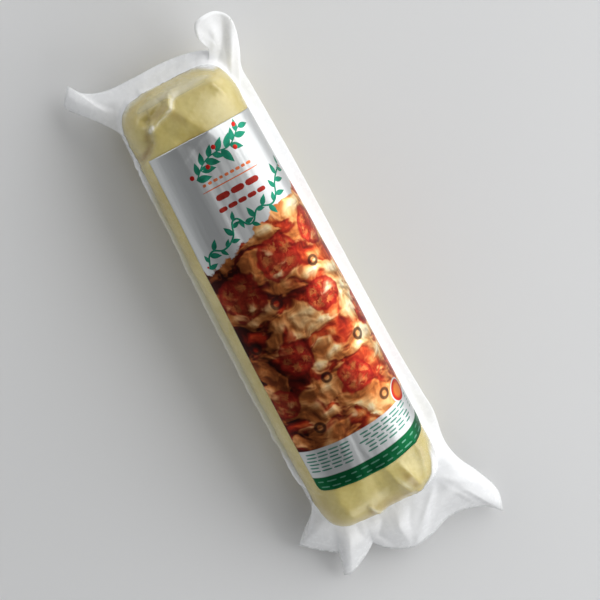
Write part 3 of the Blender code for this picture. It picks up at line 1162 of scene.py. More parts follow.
    def build(self, label: "LabelSheet") -> bpy.types.Material:
        """Draw the whole print.

        Args:
            label: Sheet that it is printed on.

        Returns:
            The material.
        """
        material, desk, shader = self.start()
        place = self.label_place(desk, label)
        across, along, _ = desk.split(place)
        ragged = desk.times(desk.minus(desk.noise(place, self.ragged), 0.5), self.ragged_reach)
        below_head = desk.minus(desk.plus(desk.ease(across, self.picture_head), ragged), along)
        soft, foot, band = self.line_soft, self.picture_foot, self.band_head
        inside = desk.times(desk.ease(below_head, self.head_soft),
                            desk.ease(along, Fade(foot - soft, foot + soft)))
        colour = desk.mix(inside, self.paper, self.picture(desk, place, across))
        colour = desk.mix(desk.ease(along, Fade(band + soft, band - soft)), colour, self.band)
        distance = desk.vector("DISTANCE", place, self.seal_place)
        reach = desk.math("DIVIDE", distance, self.seal_radius)
        for edge, soft, ink in self.seal:
            colour = desk.mix(desk.ease(reach, Fade(edge + soft, edge - soft)), colour, ink)
        grain = desk.noise(place, self.grain)
        colour = desk.mix(desk.ease(grain, self.grain_tone), colour, self.grain_grey, "MULTIPLY")
        waves = desk.noise(desk.vector("MULTIPLY", place, self.wave_lie), self.waves)
        desk.put(shader, {"Base Color": colour, "Roughness": desk.ease(grain, self.roughness),
                          "Metallic": self.pearl,
                          "Normal": desk.bump(waves, self.bump_strength, self.bump_depth)})
        return material


@dataclass
class Cheese:
    """The loaf of cheese inside the pouch, slightly under the film, with painted shade in its
    creases.
    """

    form: LoafForm
    finish: CheeseFinish = field(default_factory=lambda: CheeseFinish("cheese"))
    under_film: float = 0.25 * MM
    belly_rows: int = 20
    # Lines of painted shade on the cheese, in creases and hollows that fall into shade; haze is its
    # strength.
    painted_shade_lines: tuple[Crease, ...] = (
        Crease(((-32, 99.4, 0.2), (-28.5, 100.6, 1), (-24.6, 103.4, 1), (-21.6, 106.6, 0.5)), 1.5,
               1.4, 0.95),
        Crease(((-23, 108.6, 0.5), (-21.6, 110.6, 1), (-20.2, 113, 0.3)), 1.2, 1.2, 0.85),
        Crease(((-18, 116.6, 0.4), (-12.5, 117.8, 1), (-7.6, 119.2, 0.7)), 2, 2, 0.55),
        Crease(((-6, 115.5, 0.8), (-3.8, 112.5, 1), (-2, 108.5, 0.3)), 2.8, 2.8, 0.45),
        Crease(((-9, 98, 0.5), (-1, 99, 1), (3.5, 98.5, 0.8)), 4, 4, 0.3),
        Crease(((-12.6, -116, 0.2), (-11.4, -121, 1), (-8, -126.5, 0.5)), 1.4, 1.4, 0.4),
        Crease(((12.4, -106.5, 0.3), (13.6, -110.5, 1), (16.2, -118, 0.9), (16.9, -121, 0.3)), 1.7,
               1.7, 0.66),
        Crease(((-7.5, -121, 0.7), (1, -122.5, 1), (10, -121.5, 0.7)), 4, 4, 0.52),
        Crease(((-20, -122, 0.6), (-12, -124, 0.8)), 2.6, 2.6, 0.3),
        Crease(((-31.8, -103, 0.4), (-31.8, -112, 1), (-28.5, -119, 0.6)), 2.4, 2.4, 0.3),
        Crease(((27.4, -100, 0.5), (27, -105.5, 1), (26.4, -110, 0.3)), 1.3, 1.3, 0.42),
    )

    def build(self) -> bpy.types.Object:
        """Make the cheese.

        Returns:
            The piece.
        """
        form = self.form
        stations = form.ring_stations()
        belly = np.linspace(0, form.base_angle(), self.belly_rows)[1:]
        angles = np.concatenate([form.crown_angles(), belly])
        rings = np.stack([form.skin(stations, angle) for angle in angles])
        lift = form.relief(rings) - self.under_film
        lift += np.stack([form.gathers(stations, angle) for angle in angles])
        rings = rings + grid_normals(rings) * lift[..., None]
        rings[..., 2] = np.maximum(rings[..., 2], self.under_film)
        top = form.waist_height + form.crown_rise - self.under_film
        vertices, faces = capped(rings, form, top, self.under_film)
        piece = mesh_object("cheese", vertices, faces, self.finish.build())
        x, y, z = vertices.T
        # Strength of the painted shade along each line, on the crown only.
        depth = sum(painted_shade_line.milk(x / MM, y / MM) for painted_shade_line in self.painted_shade_lines)
        paint_points(piece, "painted_shade_line", depth * (z > form.waist_height))
        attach(piece, "root")
        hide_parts("bag")
        return piece


@dataclass
class Pouch:
    """The clear pouch: film that clings to the loaf, its fins and its loose flaps.

    The two films meet at the seam, which leaves the loaf level and bends to the pouch's edge, and
    near the head's right is drawn through a neck. A flap's or neck's four stations say where it
    begins, is full, is still full and ends. The film is milky where it is loose, which is beyond
    the cling lines and out from the seam's root, but the left fin stays clearer there. Folds are
    broad: station, half width and height of each. Pulls are fine and drawn at random. Lengths in
    the tables and of the haze lines are in millimetres, and all others in metres.
    """

    form: LoafForm
    finish: FilmFinish = field(default_factory=lambda: FilmFinish("film"))
    seam_height: float = 24 * MM
    thickness: float = 0.35 * MM
    edge_thinning: float = 0.93
    fillet_rise: float = 3.4 * MM
    fillet_reach: float = 1.9 * MM
    pleat_reach: float = 3.0 * MM
    leaves_level: float = 0.55
    neck: Place = (38 * MM, 133 * MM, 25 * MM)
    neck_stations: Trapeze = (0.43, 0.49, 0.62, 0.78)
    belly_angle: float = -12
    belly_rows: int = 16
    wall_rows: int = 4
    seam_rows: int = 24
    seam_power: float = 1.5
    cling_haze: float = 0.035
    end_haze: float = 0.17
    flap_haze: float = 0.94
    haze_limit: float = 0.97
    face_start: Limits = (119.5, 125.0)
    face_depth: Limits = (-0.5, -4.0)
    above_seam: float = 5 * MM
    above_waist: float = 6 * MM
    milk_full: float = 2.2 * MM
    left_milk_full: float = 6.0 * MM
    left_clearness: float = 0.6
    flap_gain: float = 0.62
    flap_start: Limits = (0.0, 0.16)
    fold_fade: float = 1.6
    head_cling: tuple[tuple[float, float], ...] = (
        (-34, 123.4), (-26, 123.8), (-23, 125.3), (-20, 126.6), (-12, 128.8), (0, 130), (8, 129.6),
        (13, 128.2), (18, 126.3), (21, 124.5), (24, 122.6), (34, 122.0))
    foot_cling: tuple[tuple[float, float], ...] = (
        (-36, -114), (-34, -118), (-30, -126), (-20, -131), (0, -131), (12, -128.5), (18, -124),
        (24, -120.5), (27, -118), (29.5, -112.5), (31.6, -105), (36, -97))
    cling_fade: float = 3.6
    flank_fade: float = 15.0
    flank: Limits = (28, 36)
    clear_fade: float = 24 * MM
    seed: int = 7
    pull_count: int = 40
    pull_spread: Limits = (0.012, 0.024)
    pull_rise: Limits = (-0.13, 0.15)
    pull_peak: Limits = (0.15, 0.6)
    pull_power: float = 1.2
    pull_length: float = 0.3
    foot_flap: Trapeze = (2.05, 2.3, 3.75, 3.95)
    head_flap: Trapeze = (5.15, 5.35, 0.7, 0.9)
    folds: tuple[Place, ...] = (
        (0.22, 0.05, 0.8), (0.70, 0.04, 1.2), (5.62, 0.05, -0.7), (5.82, 0.05, 0.8))
    flap_creases: tuple[Crease, ...] = (
        Crease(((28.2, -133, 0.5), (21.5, -142, 2), (13.5, -151.5, 2.4), (5.3, -161, 1.6)), 5.5, 2,
               power=1.1),
        Crease(((28.5, -136.9, -0.6), (22, -147, -1.9), (13.4, -161.3, -1.4)), 3.4, 4.5, power=1.2),
        Crease(((2.5, -138, 0.5), (-0.5, -147, 2.2), (1.2, -163, 1.8)), 9, 3.6, power=1.2),
        Crease(((11, -138, -0.3), (6, -148, -1.2), (2, -162, -0.6)), 3, 3),
        Crease(((-7.3, -139, -0.6), (-12.5, -147, -1.7), (-7, -159, -1.2)), 3, 3),
        Crease(((30.5, -132, 0.8), (38, -138.5, 2.4), (45.3, -143.5, 2.4), (56, -148.5, 1)), 3.2, 6,
               power=1.1),
        # Painted highlight: a haze of 0.1 whitens the film along this fold's ridge.
        Crease(((30.8, -145.8, 0.4), (37, -146, 1.1), (46.2, -147.6, 0.5)), 1.2, 1.4, 0.1,
               power=1.1),
        Crease(((32, -137, 0.4), (33.5, -141.5, 1.2), (36, -145, 0.4)), 1.6, 3, power=1.2),
        Crease(((39, -151, 1.2), (42, -156, 1.4), (43.5, -161.5, 0.8)), 4, 1.4, power=1.1),
        Crease(((-26.8, -130, 0.5), (-28.5, -142, 1.8), (-34, -156, 1.6), (-38, -162, 0.6)), 3, 4,
               power=1.1),
        Crease(((-21.5, -132, -0.4), (-21.5, -141, -1.4), (-17.5, -150, -0.6)), 2.6, 2.6,
               power=1.3),
        Crease(((-33.5, -128, -0.5), (-35.5, -138, -1.7), (-36.6, -147, -0.8)), 2.6, 2.6,
               power=1.3),
        Crease(((-33, -120, 0.5), (-42, -127, 1.8), (-53, -133.6, 0.8)), 3, 3.5, power=1.1),
        Crease(((-31.5, 127.5, 0.8), (-37.5, 133.5, 1.8), (-44.5, 141.5, 1.8), (-46, 148, 0.6)), 3,
               2.4, power=1.1),
        Crease(((-28, 126, -0.5), (-36, 135, -1.7), (-41, 142, -0.9)), 3, 3),
        # Painted highlight: a haze of 0.1 whitens the film along this fold's ridge.
        Crease(((13, 127.5, 0.3), (19, 126.6, 1.1), (27, 124, 1)), 1.4, 1.6, 0.1, power=1.1),
        Crease(((27.5, 122, -0.6), (33.7, 129.4, -2), (39, 137, -1.8), (42, 144.5, -0.5)), 2.8, 3.2,
               power=1.2),
        Crease(((33.7, 118, 0.6), (40, 129.5, 1.6), (44.7, 139.5, 1)), 2.6, 2.6, power=1.1),
        Crease(((29, 128.5, 0.4), (31.5, 133.5, 1.4), (35, 140, 1)), 2, 2.4, power=1.1),
    )
    # Pinched folds of the film, raised and milky along their ridges; the milk paints part of their
    # highlights. The last two lines are painted highlights alone: milky haze over lit facets, with
    # little relief.
    pinches_and_painted_highlights: tuple[Crease, ...] = (
        Crease(((24, 119.6, 0.3), (14.5, 121.5, 0.5), (7.3, 122, 0.6), (0.1, 122, 0.9),
                (-2.7, 120.8, 1.2), (-5.2, 117.6, 1.3), (-11, 115.1, 0.9), (-18.4, 113.2, 1)), 1.2,
               1.1, 0.55),
        Crease(((-17.9, 113.8, 0.4), (-19.3, 112, 0.5)), 1.5, 1.5, 0.5),
        Crease(((-20, 122.6, 0.3), (-6, 123.9, 0.35), (20.2, 123.2, 0.3)), 1.2, 1.2, 0.26),
        Crease(((-19, 124.6, 0.2), (0.3, 125.9, 0.3), (18, 124.9, 0.2)), 1, 1.3, 0.2),
        Crease(((-12, 126.9, 0.2), (0.5, 127.6, 0.2), (12, 127, 0.2)), 1, 1, 0.14),
        Crease(((-11.4, -116.8, 0.5), (-9, -121.5, 1), (-4.5, -127, 0.6)), 0.9, 0.9, 0.55),
        Crease(((8.6, -108.8, 0.2), (10.6, -113.6, 0.5), (13.4, -119.6, 0.4)), 1.2, 1.2, 0.28),
        Crease(((22.6, -103.6, 0.2), (24.6, -108.5, 0.4), (24.6, -114, 0.3)), 1, 1, 0.16),
        # Painted highlights: haze over the lit facets at the head and the foot.
        Crease(((10, 113, 0.2), (13.5, 106, 0.3), (17, 99, 0.25)), 6, 8, 0.17),
        Crease(((27.5, -103, 0.2), (28.5, -110, 0.3), (26, -119, 0.2)), 4, 5, 0.16),
    )

    def fold_height(self, stations: Points, u: float) -> Points:
        """Height in metres that the broad folds add, u of the way from the loaf to the edge."""
        height = sum(rise * np.exp(-((stations - at) / half) ** 2) for at, half, rise in self.folds)
        return height * MM * u * (self.fold_fade - u)

    def pulls(self, stations: Points, u: float) -> Points:
        """Fine straight pulls that run out from the loaf across the flaps.

        Args:
            stations: Stations of the ring's points.
            u: How far out the ring is, from 0 at the loaf to 1 at the edge.

        Returns:
            Height in metres at each station.
        """
        random = np.random.default_rng(self.seed)
        start, full, ease, end = self.foot_flap
        on_foot = smooth_step(start, full, stations) * smooth_step(end, ease, stations)
        start, full, ease, end = self.head_flap
        on_head = smooth_step(start, full, stations) + smooth_step(end, ease, stations)
        height = np.zeros_like(stations)
        for _ in range(self.pull_count):
            at, spread = random.uniform(0, STATIONS), random.uniform(*self.pull_spread)
            rise, peak = random.uniform(*self.pull_rise), random.uniform(*self.pull_peak)
            away = np.abs(stations - at)
            away = np.minimum(away, STATIONS - away)
            height += (rise * np.exp(-(away / spread) ** self.pull_power)
                       * math.exp(-((u - peak) / self.pull_length) ** 2))
        return height * MM * np.maximum(on_foot, on_head)

    def neck_share(self, stations: Points) -> Points:
        """How far the film is drawn through the curled ear's neck, a column from 0 to 1."""
        (start, full, ease, end), s = self.neck_stations, stations[:, None]
        return np.clip(np.minimum((s - start) / (full - start), (end - s) / (end - ease)), 0, 1)

    def seam_middle(self, stations: Points, edges: Points, u: float) -> tuple[Points, Points]:
        """Middle of the seam's two films.

        Args:
            stations: Stations of the ring's points.
            edges: Points of the pouch's edge at the stations.
            u: How far out the ring is, from 0 at the loaf to 1 at the edge.

        Returns:
            Points of the middle, and its upward normals.
        """
        _, root = self.form.spine_and_root(stations)
        root[:, 2] = self.seam_height
        bend = root + (edges - root) * self.leaves_level
        bend[:, 2] = self.seam_height
        share = self.neck_share(stations)
        bend = bend * (1 - share) + np.array(self.neck) * share
        middle = root * (1 - u) ** 2 + bend * (2 * u * (1 - u)) + edges * u * u
        x, y = middle[:, 0] / MM, middle[:, 1] / MM
        drawn = sum(crease.relief(x, y) for crease in self.flap_creases) * self.flap_gain * MM
        out = smooth_step(*self.flap_start, np.array(u))
        middle[:, 2] += self.fold_height(stations, u) + self.pulls(stations, u) + drawn * out
        run = unit((bend - root) * (1 - u) + (edges - bend) * u)
        up = unit(np.array((0, 0, 1)) - run * run[:, 2:])
        return middle, up

    def seam_ring(self, stations: Points, edges: Points, u: float, side: Side) -> Points:
        """One ring of the seam's upper or lower film, with its fillet and the loaf's pleats.

        Args:
            stations: Stations of the ring's points.
            edges: Points of the pouch's edge at the stations.
            u: How far out the ring is, from 0 at the loaf to 1 at the edge.
            side: Film that the ring belongs to.

        Returns:
            Points of the ring.
        """
        middle, up = self.seam_middle(stations, edges, u)
        start, _ = self.seam_middle(stations, edges, 0)
        gap = np.linalg.norm(middle - start, axis=1, keepdims=True)
        fillet = self.fillet_rise * np.exp(-gap / self.fillet_reach)
        half = self.thickness / 2 * (1 - self.edge_thinning * u ** 3)
        spine, root = self.form.spine_and_root(stations)
        pleat = self.form.gathers(stations, 0)[:, None] * np.exp(-gap / self.pleat_reach)
        outward = unit((root - spine) * (1, 1, 0)) + up * side.value
        return middle + up * side.value * (half + fillet) + outward * pleat

    def haze(self, rings: Points, seam: range) -> Points:
        """Milkiness of the film.

        Args:
            rings: Grid of the film's rings.
            seam: Rows of the grid that belong to the seam's fins and flaps.

        Returns:
            Share of the film's own white at each point of the grid.
        """
        form = self.form
        milk = np.full(rings.shape[:2], self.cling_haze)
        x, y = rings[..., 0] / MM, rings[..., 1] / MM
        above = smooth_step(self.seam_height, self.seam_height + self.above_seam, rings[..., 2])
        # Milk along the pinched folds paints part of their highlights; the last two lines paint
        # highlights on lit facets.
        for pinch in self.pinches_and_painted_highlights:
            milk += pinch.milk(x, y) * above
        head = y - np.interp(x, *zip(*self.head_cling))
        foot = np.interp(x, *zip(*self.foot_cling)) - y
        face = smooth_step(*self.face_start, y) * smooth_step(*self.face_depth, head)
        milk += self.end_haze * face * above
        fade = self.cling_fade + self.flank_fade * smooth_step(*self.flank, np.abs(x))
        loose = smooth_step(-fade / 3, fade, np.maximum(head, foot))
        milk += (self.flap_haze - milk) * loose * (rings[..., 2] > self.seam_height)
        start = rings[seam.start - 1]
        clear = smooth_step(0, self.clear_fade, form.spine_half - np.abs(start[:, 1]))
        clear = np.where(start[:, 0] < 0, clear, 0)
        full = self.milk_full + (self.left_milk_full - self.milk_full) * clear
        join = self.flap_haze * (1 - self.left_clearness * clear)
        for row in range(seam.start - self.wall_rows, seam.start):
            down = (form.waist_height - rings[row, :, 2]) / (form.waist_height - start[:, 2])
            milk[row] = np.maximum(milk[row], join * down)
        base = milk[seam.start - 1]
        for row in seam:
            share = smooth_step(0, full, np.linalg.norm((rings[row] - start)[:, :2], axis=1))
            milk[row] = base + (self.flap_haze - base) * share
            for crease in self.flap_creases:
                milk[row] += crease.milk(x[row], y[row]) * share
        return np.clip(milk, 0, self.haze_limit)

    def edge_points(self, stations: Points) -> Points:
        """Points of the pouch's edge, with the nearest station moved onto each sharp one.

        Args:
            stations: Stations of a ring's points.

        Returns:
            Point of the edge for each station.
        """
        half = 0.5 / self.form.quarter
        snapped = [next((at for at in SHARP_STATIONS if abs(at - s) < half), s) for s in stations]
        return np.stack([edge_point(s) for s in snapped])

    def lay_on_skin(self, rings: Points, angles: Sequence[float | None]) -> Points:
        """Give the film on the loaf the cheese's relief, its own pleats and the relief of its
        pinched folds and painted highlights.

        Args:
            rings: Grid of the film's rings.
            angles: Angle of each ring on the skin, and None for the rings of the seam.

        Returns:
            Grid of the settled rings, none of them below the floor.
        """
        form = self.form
        stations = form.ring_stations()
        lift = form.relief(rings)
        x, y = rings[..., 0] / MM, rings[..., 1] / MM
        low = form.waist_height
        above = smooth_step(low, low + self.above_waist, rings[..., 2])
        on_skin = np.array([angle is not None for angle in angles])
        for row in np.flatnonzero(on_skin):
            lift[row] += form.gathers(stations, angles[row])
        for pinch in self.pinches_and_painted_highlights:
            lift += pinch.relief(x, y) * MM * above
        rings = rings + grid_normals(rings) * (lift * on_skin[:, None])[..., None]
        rings[..., 2] = np.maximum(rings[..., 2], 0)
        return rings

    def build(self) -> bpy.types.Object:
        """Make the pouch.

        Returns:
            The piece.
        """
        form = self.form
        stations = form.ring_stations()
        edges = self.edge_points(stations)
        crown = form.crown_angles()
        belly = np.linspace(self.belly_angle, form.base_angle(), self.belly_rows)
        waist = form.skin(stations, 0) * (1, 1, 0)
        rise = self.thickness / 2 + self.fillet_rise
        wall = np.linspace(form.waist_height, self.seam_height + rise, self.wall_rows + 1)[1:]
        steps = np.linspace(0, 1, self.seam_rows + 1)[1:] ** self.seam_power
        upper = [form.skin(stations, angle) for angle in crown]
        upper += [waist + (0, 0, height) for height in wall]
        over = [self.seam_ring(stations, edges, u, Side.UPPER) for u in steps]
        under = [self.seam_ring(stations, edges, u, Side.LOWER) for u in steps[::-1]]
        lower = [waist + (0, 0, self.seam_height - rise)]
        lower += [form.skin(stations, angle) for angle in belly]
        angles = [*crown, *[0] * len(wall), *[None] * (2 * len(steps)), 0, *belly]
        rings = self.lay_on_skin(np.stack(upper + over + under + lower), angles)
        top = form.waist_height + form.crown_rise
        vertices, faces = capped(rings, form, top, 0.0)
        piece = mesh_object("film", vertices, faces, self.finish.build())
        seam = range(len(upper), len(upper) + 2 * len(steps))
        milk = self.haze(rings, seam).ravel()
        caps = np.full(len(vertices) - len(milk), self.cling_haze)
        paint_points(piece, "haze", np.concatenate([milk, caps]))
        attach(piece, "root")
        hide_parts("bag")
        return piece


@dataclass
class LabelSheet:
    """The printed label: its flat outline, and how it wraps round the crown. Sizes in metres."""

    form: LoafForm
    finish: LabelFinish = field(default_factory=lambda: LabelFinish("label_print"))
    left: float = -31.5 * MM
    right: float = 55 * MM
    head: float = 99.6 * MM
    foot: float = -101 * MM
    head_bow: float = 0.8
    foot_bow: float = 3.5
    left_corner: float = 3 * MM
    right_corner: float = 20 * MM
    gap: float = 0.06 * MM
    thickness: float = 0.14 * MM
    columns: int = 140
    rows: int = 240
    section_steps: int = 1500
    map_name = "flat_label"

    def __post_init__(self) -> None:
        """Measure the distance round the loaf's section from the middle of its crown."""
        self.angles = np.radians(np.linspace(90, 0, self.section_steps))
        out, up = np.cos(self.angles), np.sin(self.angles)
        reach = power_radius(out, up, self.form.section_power)
        x, z = self.form.half_width_middle * out * reach, self.form.crown_rise * up * reach
        self.travelled = np.concatenate([[0], np.cumsum(np.hypot(np.diff(x), np.diff(z)))])

    def wrap(self, across: Points, along: Points, height: Points | float) -> Points:
        """Bend places on the flat label onto the loaf.

        Args:
            across: Distance round from the middle of the crown, in metres.
            along: Place along the straightened label, in metres.
            height: Height above the film, in metres.

        Returns:
            Points in space.
        """
        form = self.form
        share = (along - self.foot) / (self.head - self.foot)
        foot = self.foot + self.foot_bow * across ** 2
        head = self.head - self.head_bow * across ** 2
        y = foot + (head - foot) * share
        angle = np.interp(np.abs(across), self.travelled, self.angles)
        out, up = np.cos(angle), np.sin(angle)
        reach = power_radius(out, up, form.section_power)
        q = out * reach
        beyond = np.maximum(np.abs(y) - form.spine_half, 0) / form.end_length
        grown = np.minimum((q ** form.corner_power + beyond ** form.corner_power)
                           ** (1 / form.corner_power), 1)
        rise = (1 - grown ** form.section_power) ** (1 / form.section_power)
        width = form.half_width(y)
        side = np.sign(across)
        top = form.waist_height + form.crown_rise * rise
        points = np.stack([side * width * q, y, top], axis=-1)
        tilt_x = side * q ** (form.section_power - 1) / width
        tilt_z = np.maximum(rise, 0) ** (form.section_power - 1) / form.crown_rise
        normal = unit(np.stack([tilt_x, 0 * y, tilt_z], axis=-1))
        lift = form.relief(points) + self.gap + height
        return points + normal * lift[..., None]

    def sheet_place(self) -> tuple[Points, Points]:
        """Places of the sheet's grid on the flat label, within its rounded corners.

        Returns:
            Distance round from the crown and place along, in metres.
        """
        across = np.linspace(self.left, self.right, self.columns + 1)
        low = np.full_like(across, self.foot)
        for radius, inset in ((self.left_corner, across - self.left),
                              (self.right_corner, self.right - across)):
            away = np.clip(radius - inset, 0, radius)
            low += radius - np.sqrt(radius ** 2 - away ** 2)
        share = np.linspace(0, 1, self.rows + 1)[:, None]
        along = low + (self.head - low) * share
        return np.broadcast_to(across, along.shape), along

    def sheet_faces(self) -> list[Sequence[int]]:
        """Faces of the sheet's top, underside and rim.

        Returns:
            Corners of each face, numbered row by row on the top and then on the underside.
        """
        spots = np.arange((self.rows + 1) * (self.columns + 1)).reshape(self.rows + 1, -1)
        top = np.stack([spots[:-1, :-1], spots[:-1, 1:], spots[1:, 1:], spots[1:, :-1]], axis=-1)
        top = top.reshape(-1, 4)
        rim = np.concatenate([spots[0, :-1], spots[:-1, -1], spots[-1, :0:-1], spots[:0:-1, 0]])
        last = np.roll(rim, 1)
        side = np.stack([last, last + spots.size, rim + spots.size, rim], axis=1)
        return np.concatenate([top, top[:, ::-1] + spots.size, side]).tolist()

    def build(self) -> bpy.types.Object:
        """Make the label, with a map of its flat shape.

        Returns:
            The piece.
        """
        across, along = self.sheet_place()
        sides = [self.wrap(across, along, height).reshape(-1, 3)
                 for height in (self.thickness, 0.0)]
        piece = mesh_object("label_print", np.concatenate(sides), self.sheet_faces(),
                            self.finish.build(self))
        flat = np.stack([(across - self.left) / (self.right - self.left),
                         (along - self.foot) / (self.head - self.foot)], axis=-1)
        flat = np.tile(flat.reshape(-1, 2), (2, 1))
        corners = np.empty(len(piece.data.loops), dtype=np.int32)
        piece.data.loops.foreach_get("vertex_index", corners)
        layer = piece.data.uv_layers.new(name=self.map_name)
        layer.uv.foreach_set("vector", flat[corners].astype(np.float32).ravel())
        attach(piece, "root")
        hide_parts("label")
        return piece


class GeoTree(GroupDesk):
    """A Geometry Nodes tree with named inputs, run once on flat label geometry."""

    def __init__(self, name: str) -> None:
        """Start the tree with its geometry input."""
        super().__init__(name, "GeometryNodeTree")
        self.base = self.ask("Geometry", Kind.GEOMETRY)

    def make(self, kind: str, inputs: dict[str | int, object] | None = None,
             **settings: object) -> Socket:
        """First result of a new node."""
        return self.node(kind, inputs, **settings).outputs[0]

    def grid(self, columns: Socket | int, rows: Socket | int, wide: Socket | float = 1.0,
             tall: Socket | float = 1.0) -> Socket:
        """Flat grid round the origin, with so many points in a row and in a column."""
        return self.make("GeometryNodeMeshGrid", {"Size X": wide, "Size Y": tall,
                                                  "Vertices X": columns, "Vertices Y": rows})

    def spread(self, points: Socket, piece: Socket, **inputs: Value) -> Socket:
        """Copies of a piece on points, with their scale and rotation."""
        return self.make("GeometryNodeInstanceOnPoints",
                         {"Points": points, "Instance": piece, **inputs})

    def random(self, low: Socket | float, high: Socket | float, seed: Socket,
               label: Socket | None = None) -> Socket:
        """Random number between two limits, its own for each point or for each label."""
        inputs = {2: low, 3: high, "Seed": seed} | ({} if label is None else {"ID": label})
        return self.node("FunctionNodeRandomValue", inputs, data_type="FLOAT").outputs[1]

    def painted(self, geometry: Socket, material: Socket) -> Socket:
        """Geometry made real and given its material."""
        real = self.make("GeometryNodeRealizeInstances", {"Geometry": geometry})
        return self.make("GeometryNodeSetMaterial", {"Geometry": real, "Material": material})

    def run(self, name: str, base: bpy.types.ID | None,
            values: dict[str, object]) -> bpy.types.Mesh:
        """Run the tree and give its result as a plain mesh.

        Args:
            name: Name for the mesh.
            base: Curve that the tree starts from, if it needs one.
            values: Value of each named input.

        Returns:
            The realized mesh, still flat.
        """
        base = base or bpy.data.meshes.new(f"{name}_base")
        carrier = bpy.data.objects.new(f"{name}_carrier", base)
        bpy.context.scene.collection.objects.link(carrier)
        modifier = carrier.modifiers.new("nodes", "NODES")
        modifier.node_group = self.tree
        for item in self.tree.interface.items_tree:
            if item.item_type == "SOCKET" and item.in_out == "INPUT" and item.name in values:
                modifier[item.identifier] = values[item.name]
        bpy.context.view_layer.update()
        graph = bpy.context.evaluated_depsgraph_get()
        mesh = bpy.data.meshes.new_from_object(carrier.evaluated_get(graph))
        mesh.name = name
        bpy.data.objects.remove(carrier)
        return mesh


@dataclass
class Print:
    """Ink that lies on the label as thin flat geometry."""

    label: LabelSheet
    ink_height: float = 0.03 * MM
    flatten: float = 0.06

    def lay(self, name: str, mesh: bpy.types.Mesh) -> bpy.types.Object:
        """Wrap a flat mesh onto the label as a piece of its own.

        Args:
            name: Name of the piece.
            mesh: Ink on the flat label, in metres.

        Returns:
            The piece.
        """
        flat = np.empty(len(mesh.vertices) * 3)
        mesh.vertices.foreach_get("co", flat)
        x, y, z = flat.reshape(-1, 3).T
        bent = self.label.wrap(x, y, self.label.thickness + self.ink_height + z * self.flatten)
        mesh.vertices.foreach_set("co", bent.ravel())
        mesh.update()
        piece = bpy.data.objects.new(name, mesh)
        bpy.context.scene.collection.objects.link(piece)
        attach(piece, "root")
        return piece


@dataclass(frozen=True)
class BarBlock:
    """A block of plain bars that stands where lines of print would be, in millimetres.

    The corner is its foot left one on the flat label. Pitch is the distance from bar to bar, lead
    from row to row, and ragged how far a row starts to the left or right of its place. The
    columns are those of the faces in a bar, and the seed is that of the lengths and places.
    """

    name: str
    corner: tuple[float, float]
    bars: int
    rows: int
    pitch: float
    lead: float
    height: float
    shortest: float
    longest: float
    ragged: float
    seed: int
    columns: int = 8


@dataclass
class PlainBars(Print):
    """Blocks of plain rounded bars, laid out by a Geometry Nodes tree."""

    blocks: tuple[tuple[BarBlock, InkFinish], ...] = ()
    end_power: float = 7.0
    end_narrowing: float = 0.55
    counts = ("Bars", "Rows", "Columns", "Seed")
    lengths = ("Pitch", "Lead", "Height", "Shortest", "Longest", "Ragged")

    def tree(self) -> GeoTree:
        """Lay out one block.

        Returns:
            Tree that sets bars of uneven length on a grid of points with ragged rows.
        """
        geo = GeoTree("plain_bars")
        bars, rows, columns, seed = (geo.ask(name, Kind.WHOLE) for name in self.counts)
        pitch, lead, height, shortest, longest, ragged = (geo.ask(name) for name in self.lengths)
        corner, material = geo.ask("Corner", Kind.VECTOR), geo.ask("Material", Kind.MATERIAL)
        wide = geo.times(geo.minus(bars, 1.0), pitch)
        tall = geo.times(geo.minus(rows, 1.0), lead)
        x, y, _ = geo.split(geo.make("GeometryNodeInputPosition"))
        row = geo.math("ROUND", geo.math("DIVIDE", y, lead))
        shift = geo.times(geo.random(-1.0, 1.0, seed, row), ragged)
        offset = geo.join(geo.plus(shift, geo.times(wide, 0.5)), geo.times(tall, 0.5), 0.0)
        spots = geo.make("GeometryNodeSetPosition", {
            "Geometry": geo.grid(bars, rows, wide, tall),
            "Offset": geo.vector("ADD", offset, corner)})
        end = geo.math("POWER", geo.math("ABSOLUTE", geo.times(x, 2.0)), self.end_power)
        squeeze = geo.minus(1.0, geo.times(end, self.end_narrowing))
        bar = geo.make("GeometryNodeSetPosition", {
            "Geometry": geo.grid(columns, 3), "Position": geo.join(x, geo.times(y, squeeze), 0.0)})
        size = geo.join(geo.random(shortest, longest, seed), height, 1.0)
        geo.give("Geometry", geo.painted(geo.spread(spots, bar, Scale=size), material),
                 Kind.GEOMETRY)
        return geo

    def build(self) -> list[bpy.types.Object]:
        """Make every block.

        Returns:
            The pieces.
        """
        geo = self.tree()
        pieces = []
        for block, ink in self.blocks:
            values = {name: getattr(block, name.lower()) for name in self.counts}
            values |= {name: getattr(block, name.lower()) * MM for name in self.lengths}
            x, y = block.corner
            values |= {"Corner": (x * MM, y * MM, 0.0), "Material": ink.build()}
            pieces.append(self.lay(block.name, geo.run(block.name, None, values)))
        return pieces


@dataclass(frozen=True)
class Stem:
    """A stem with leaves and berries, in millimetres on the flat label.

    The path is its middle line. The leaves stand off it at an angle in degrees, and the seed is
    that of their sizes.
    """

    name: str
    path: tuple[tuple[float, float], ...]
    width: float
    leaf_pitch: float
    leaf_length: float
    leaf_angle: float
    berries: int
    berry_radius: float
    seed: int


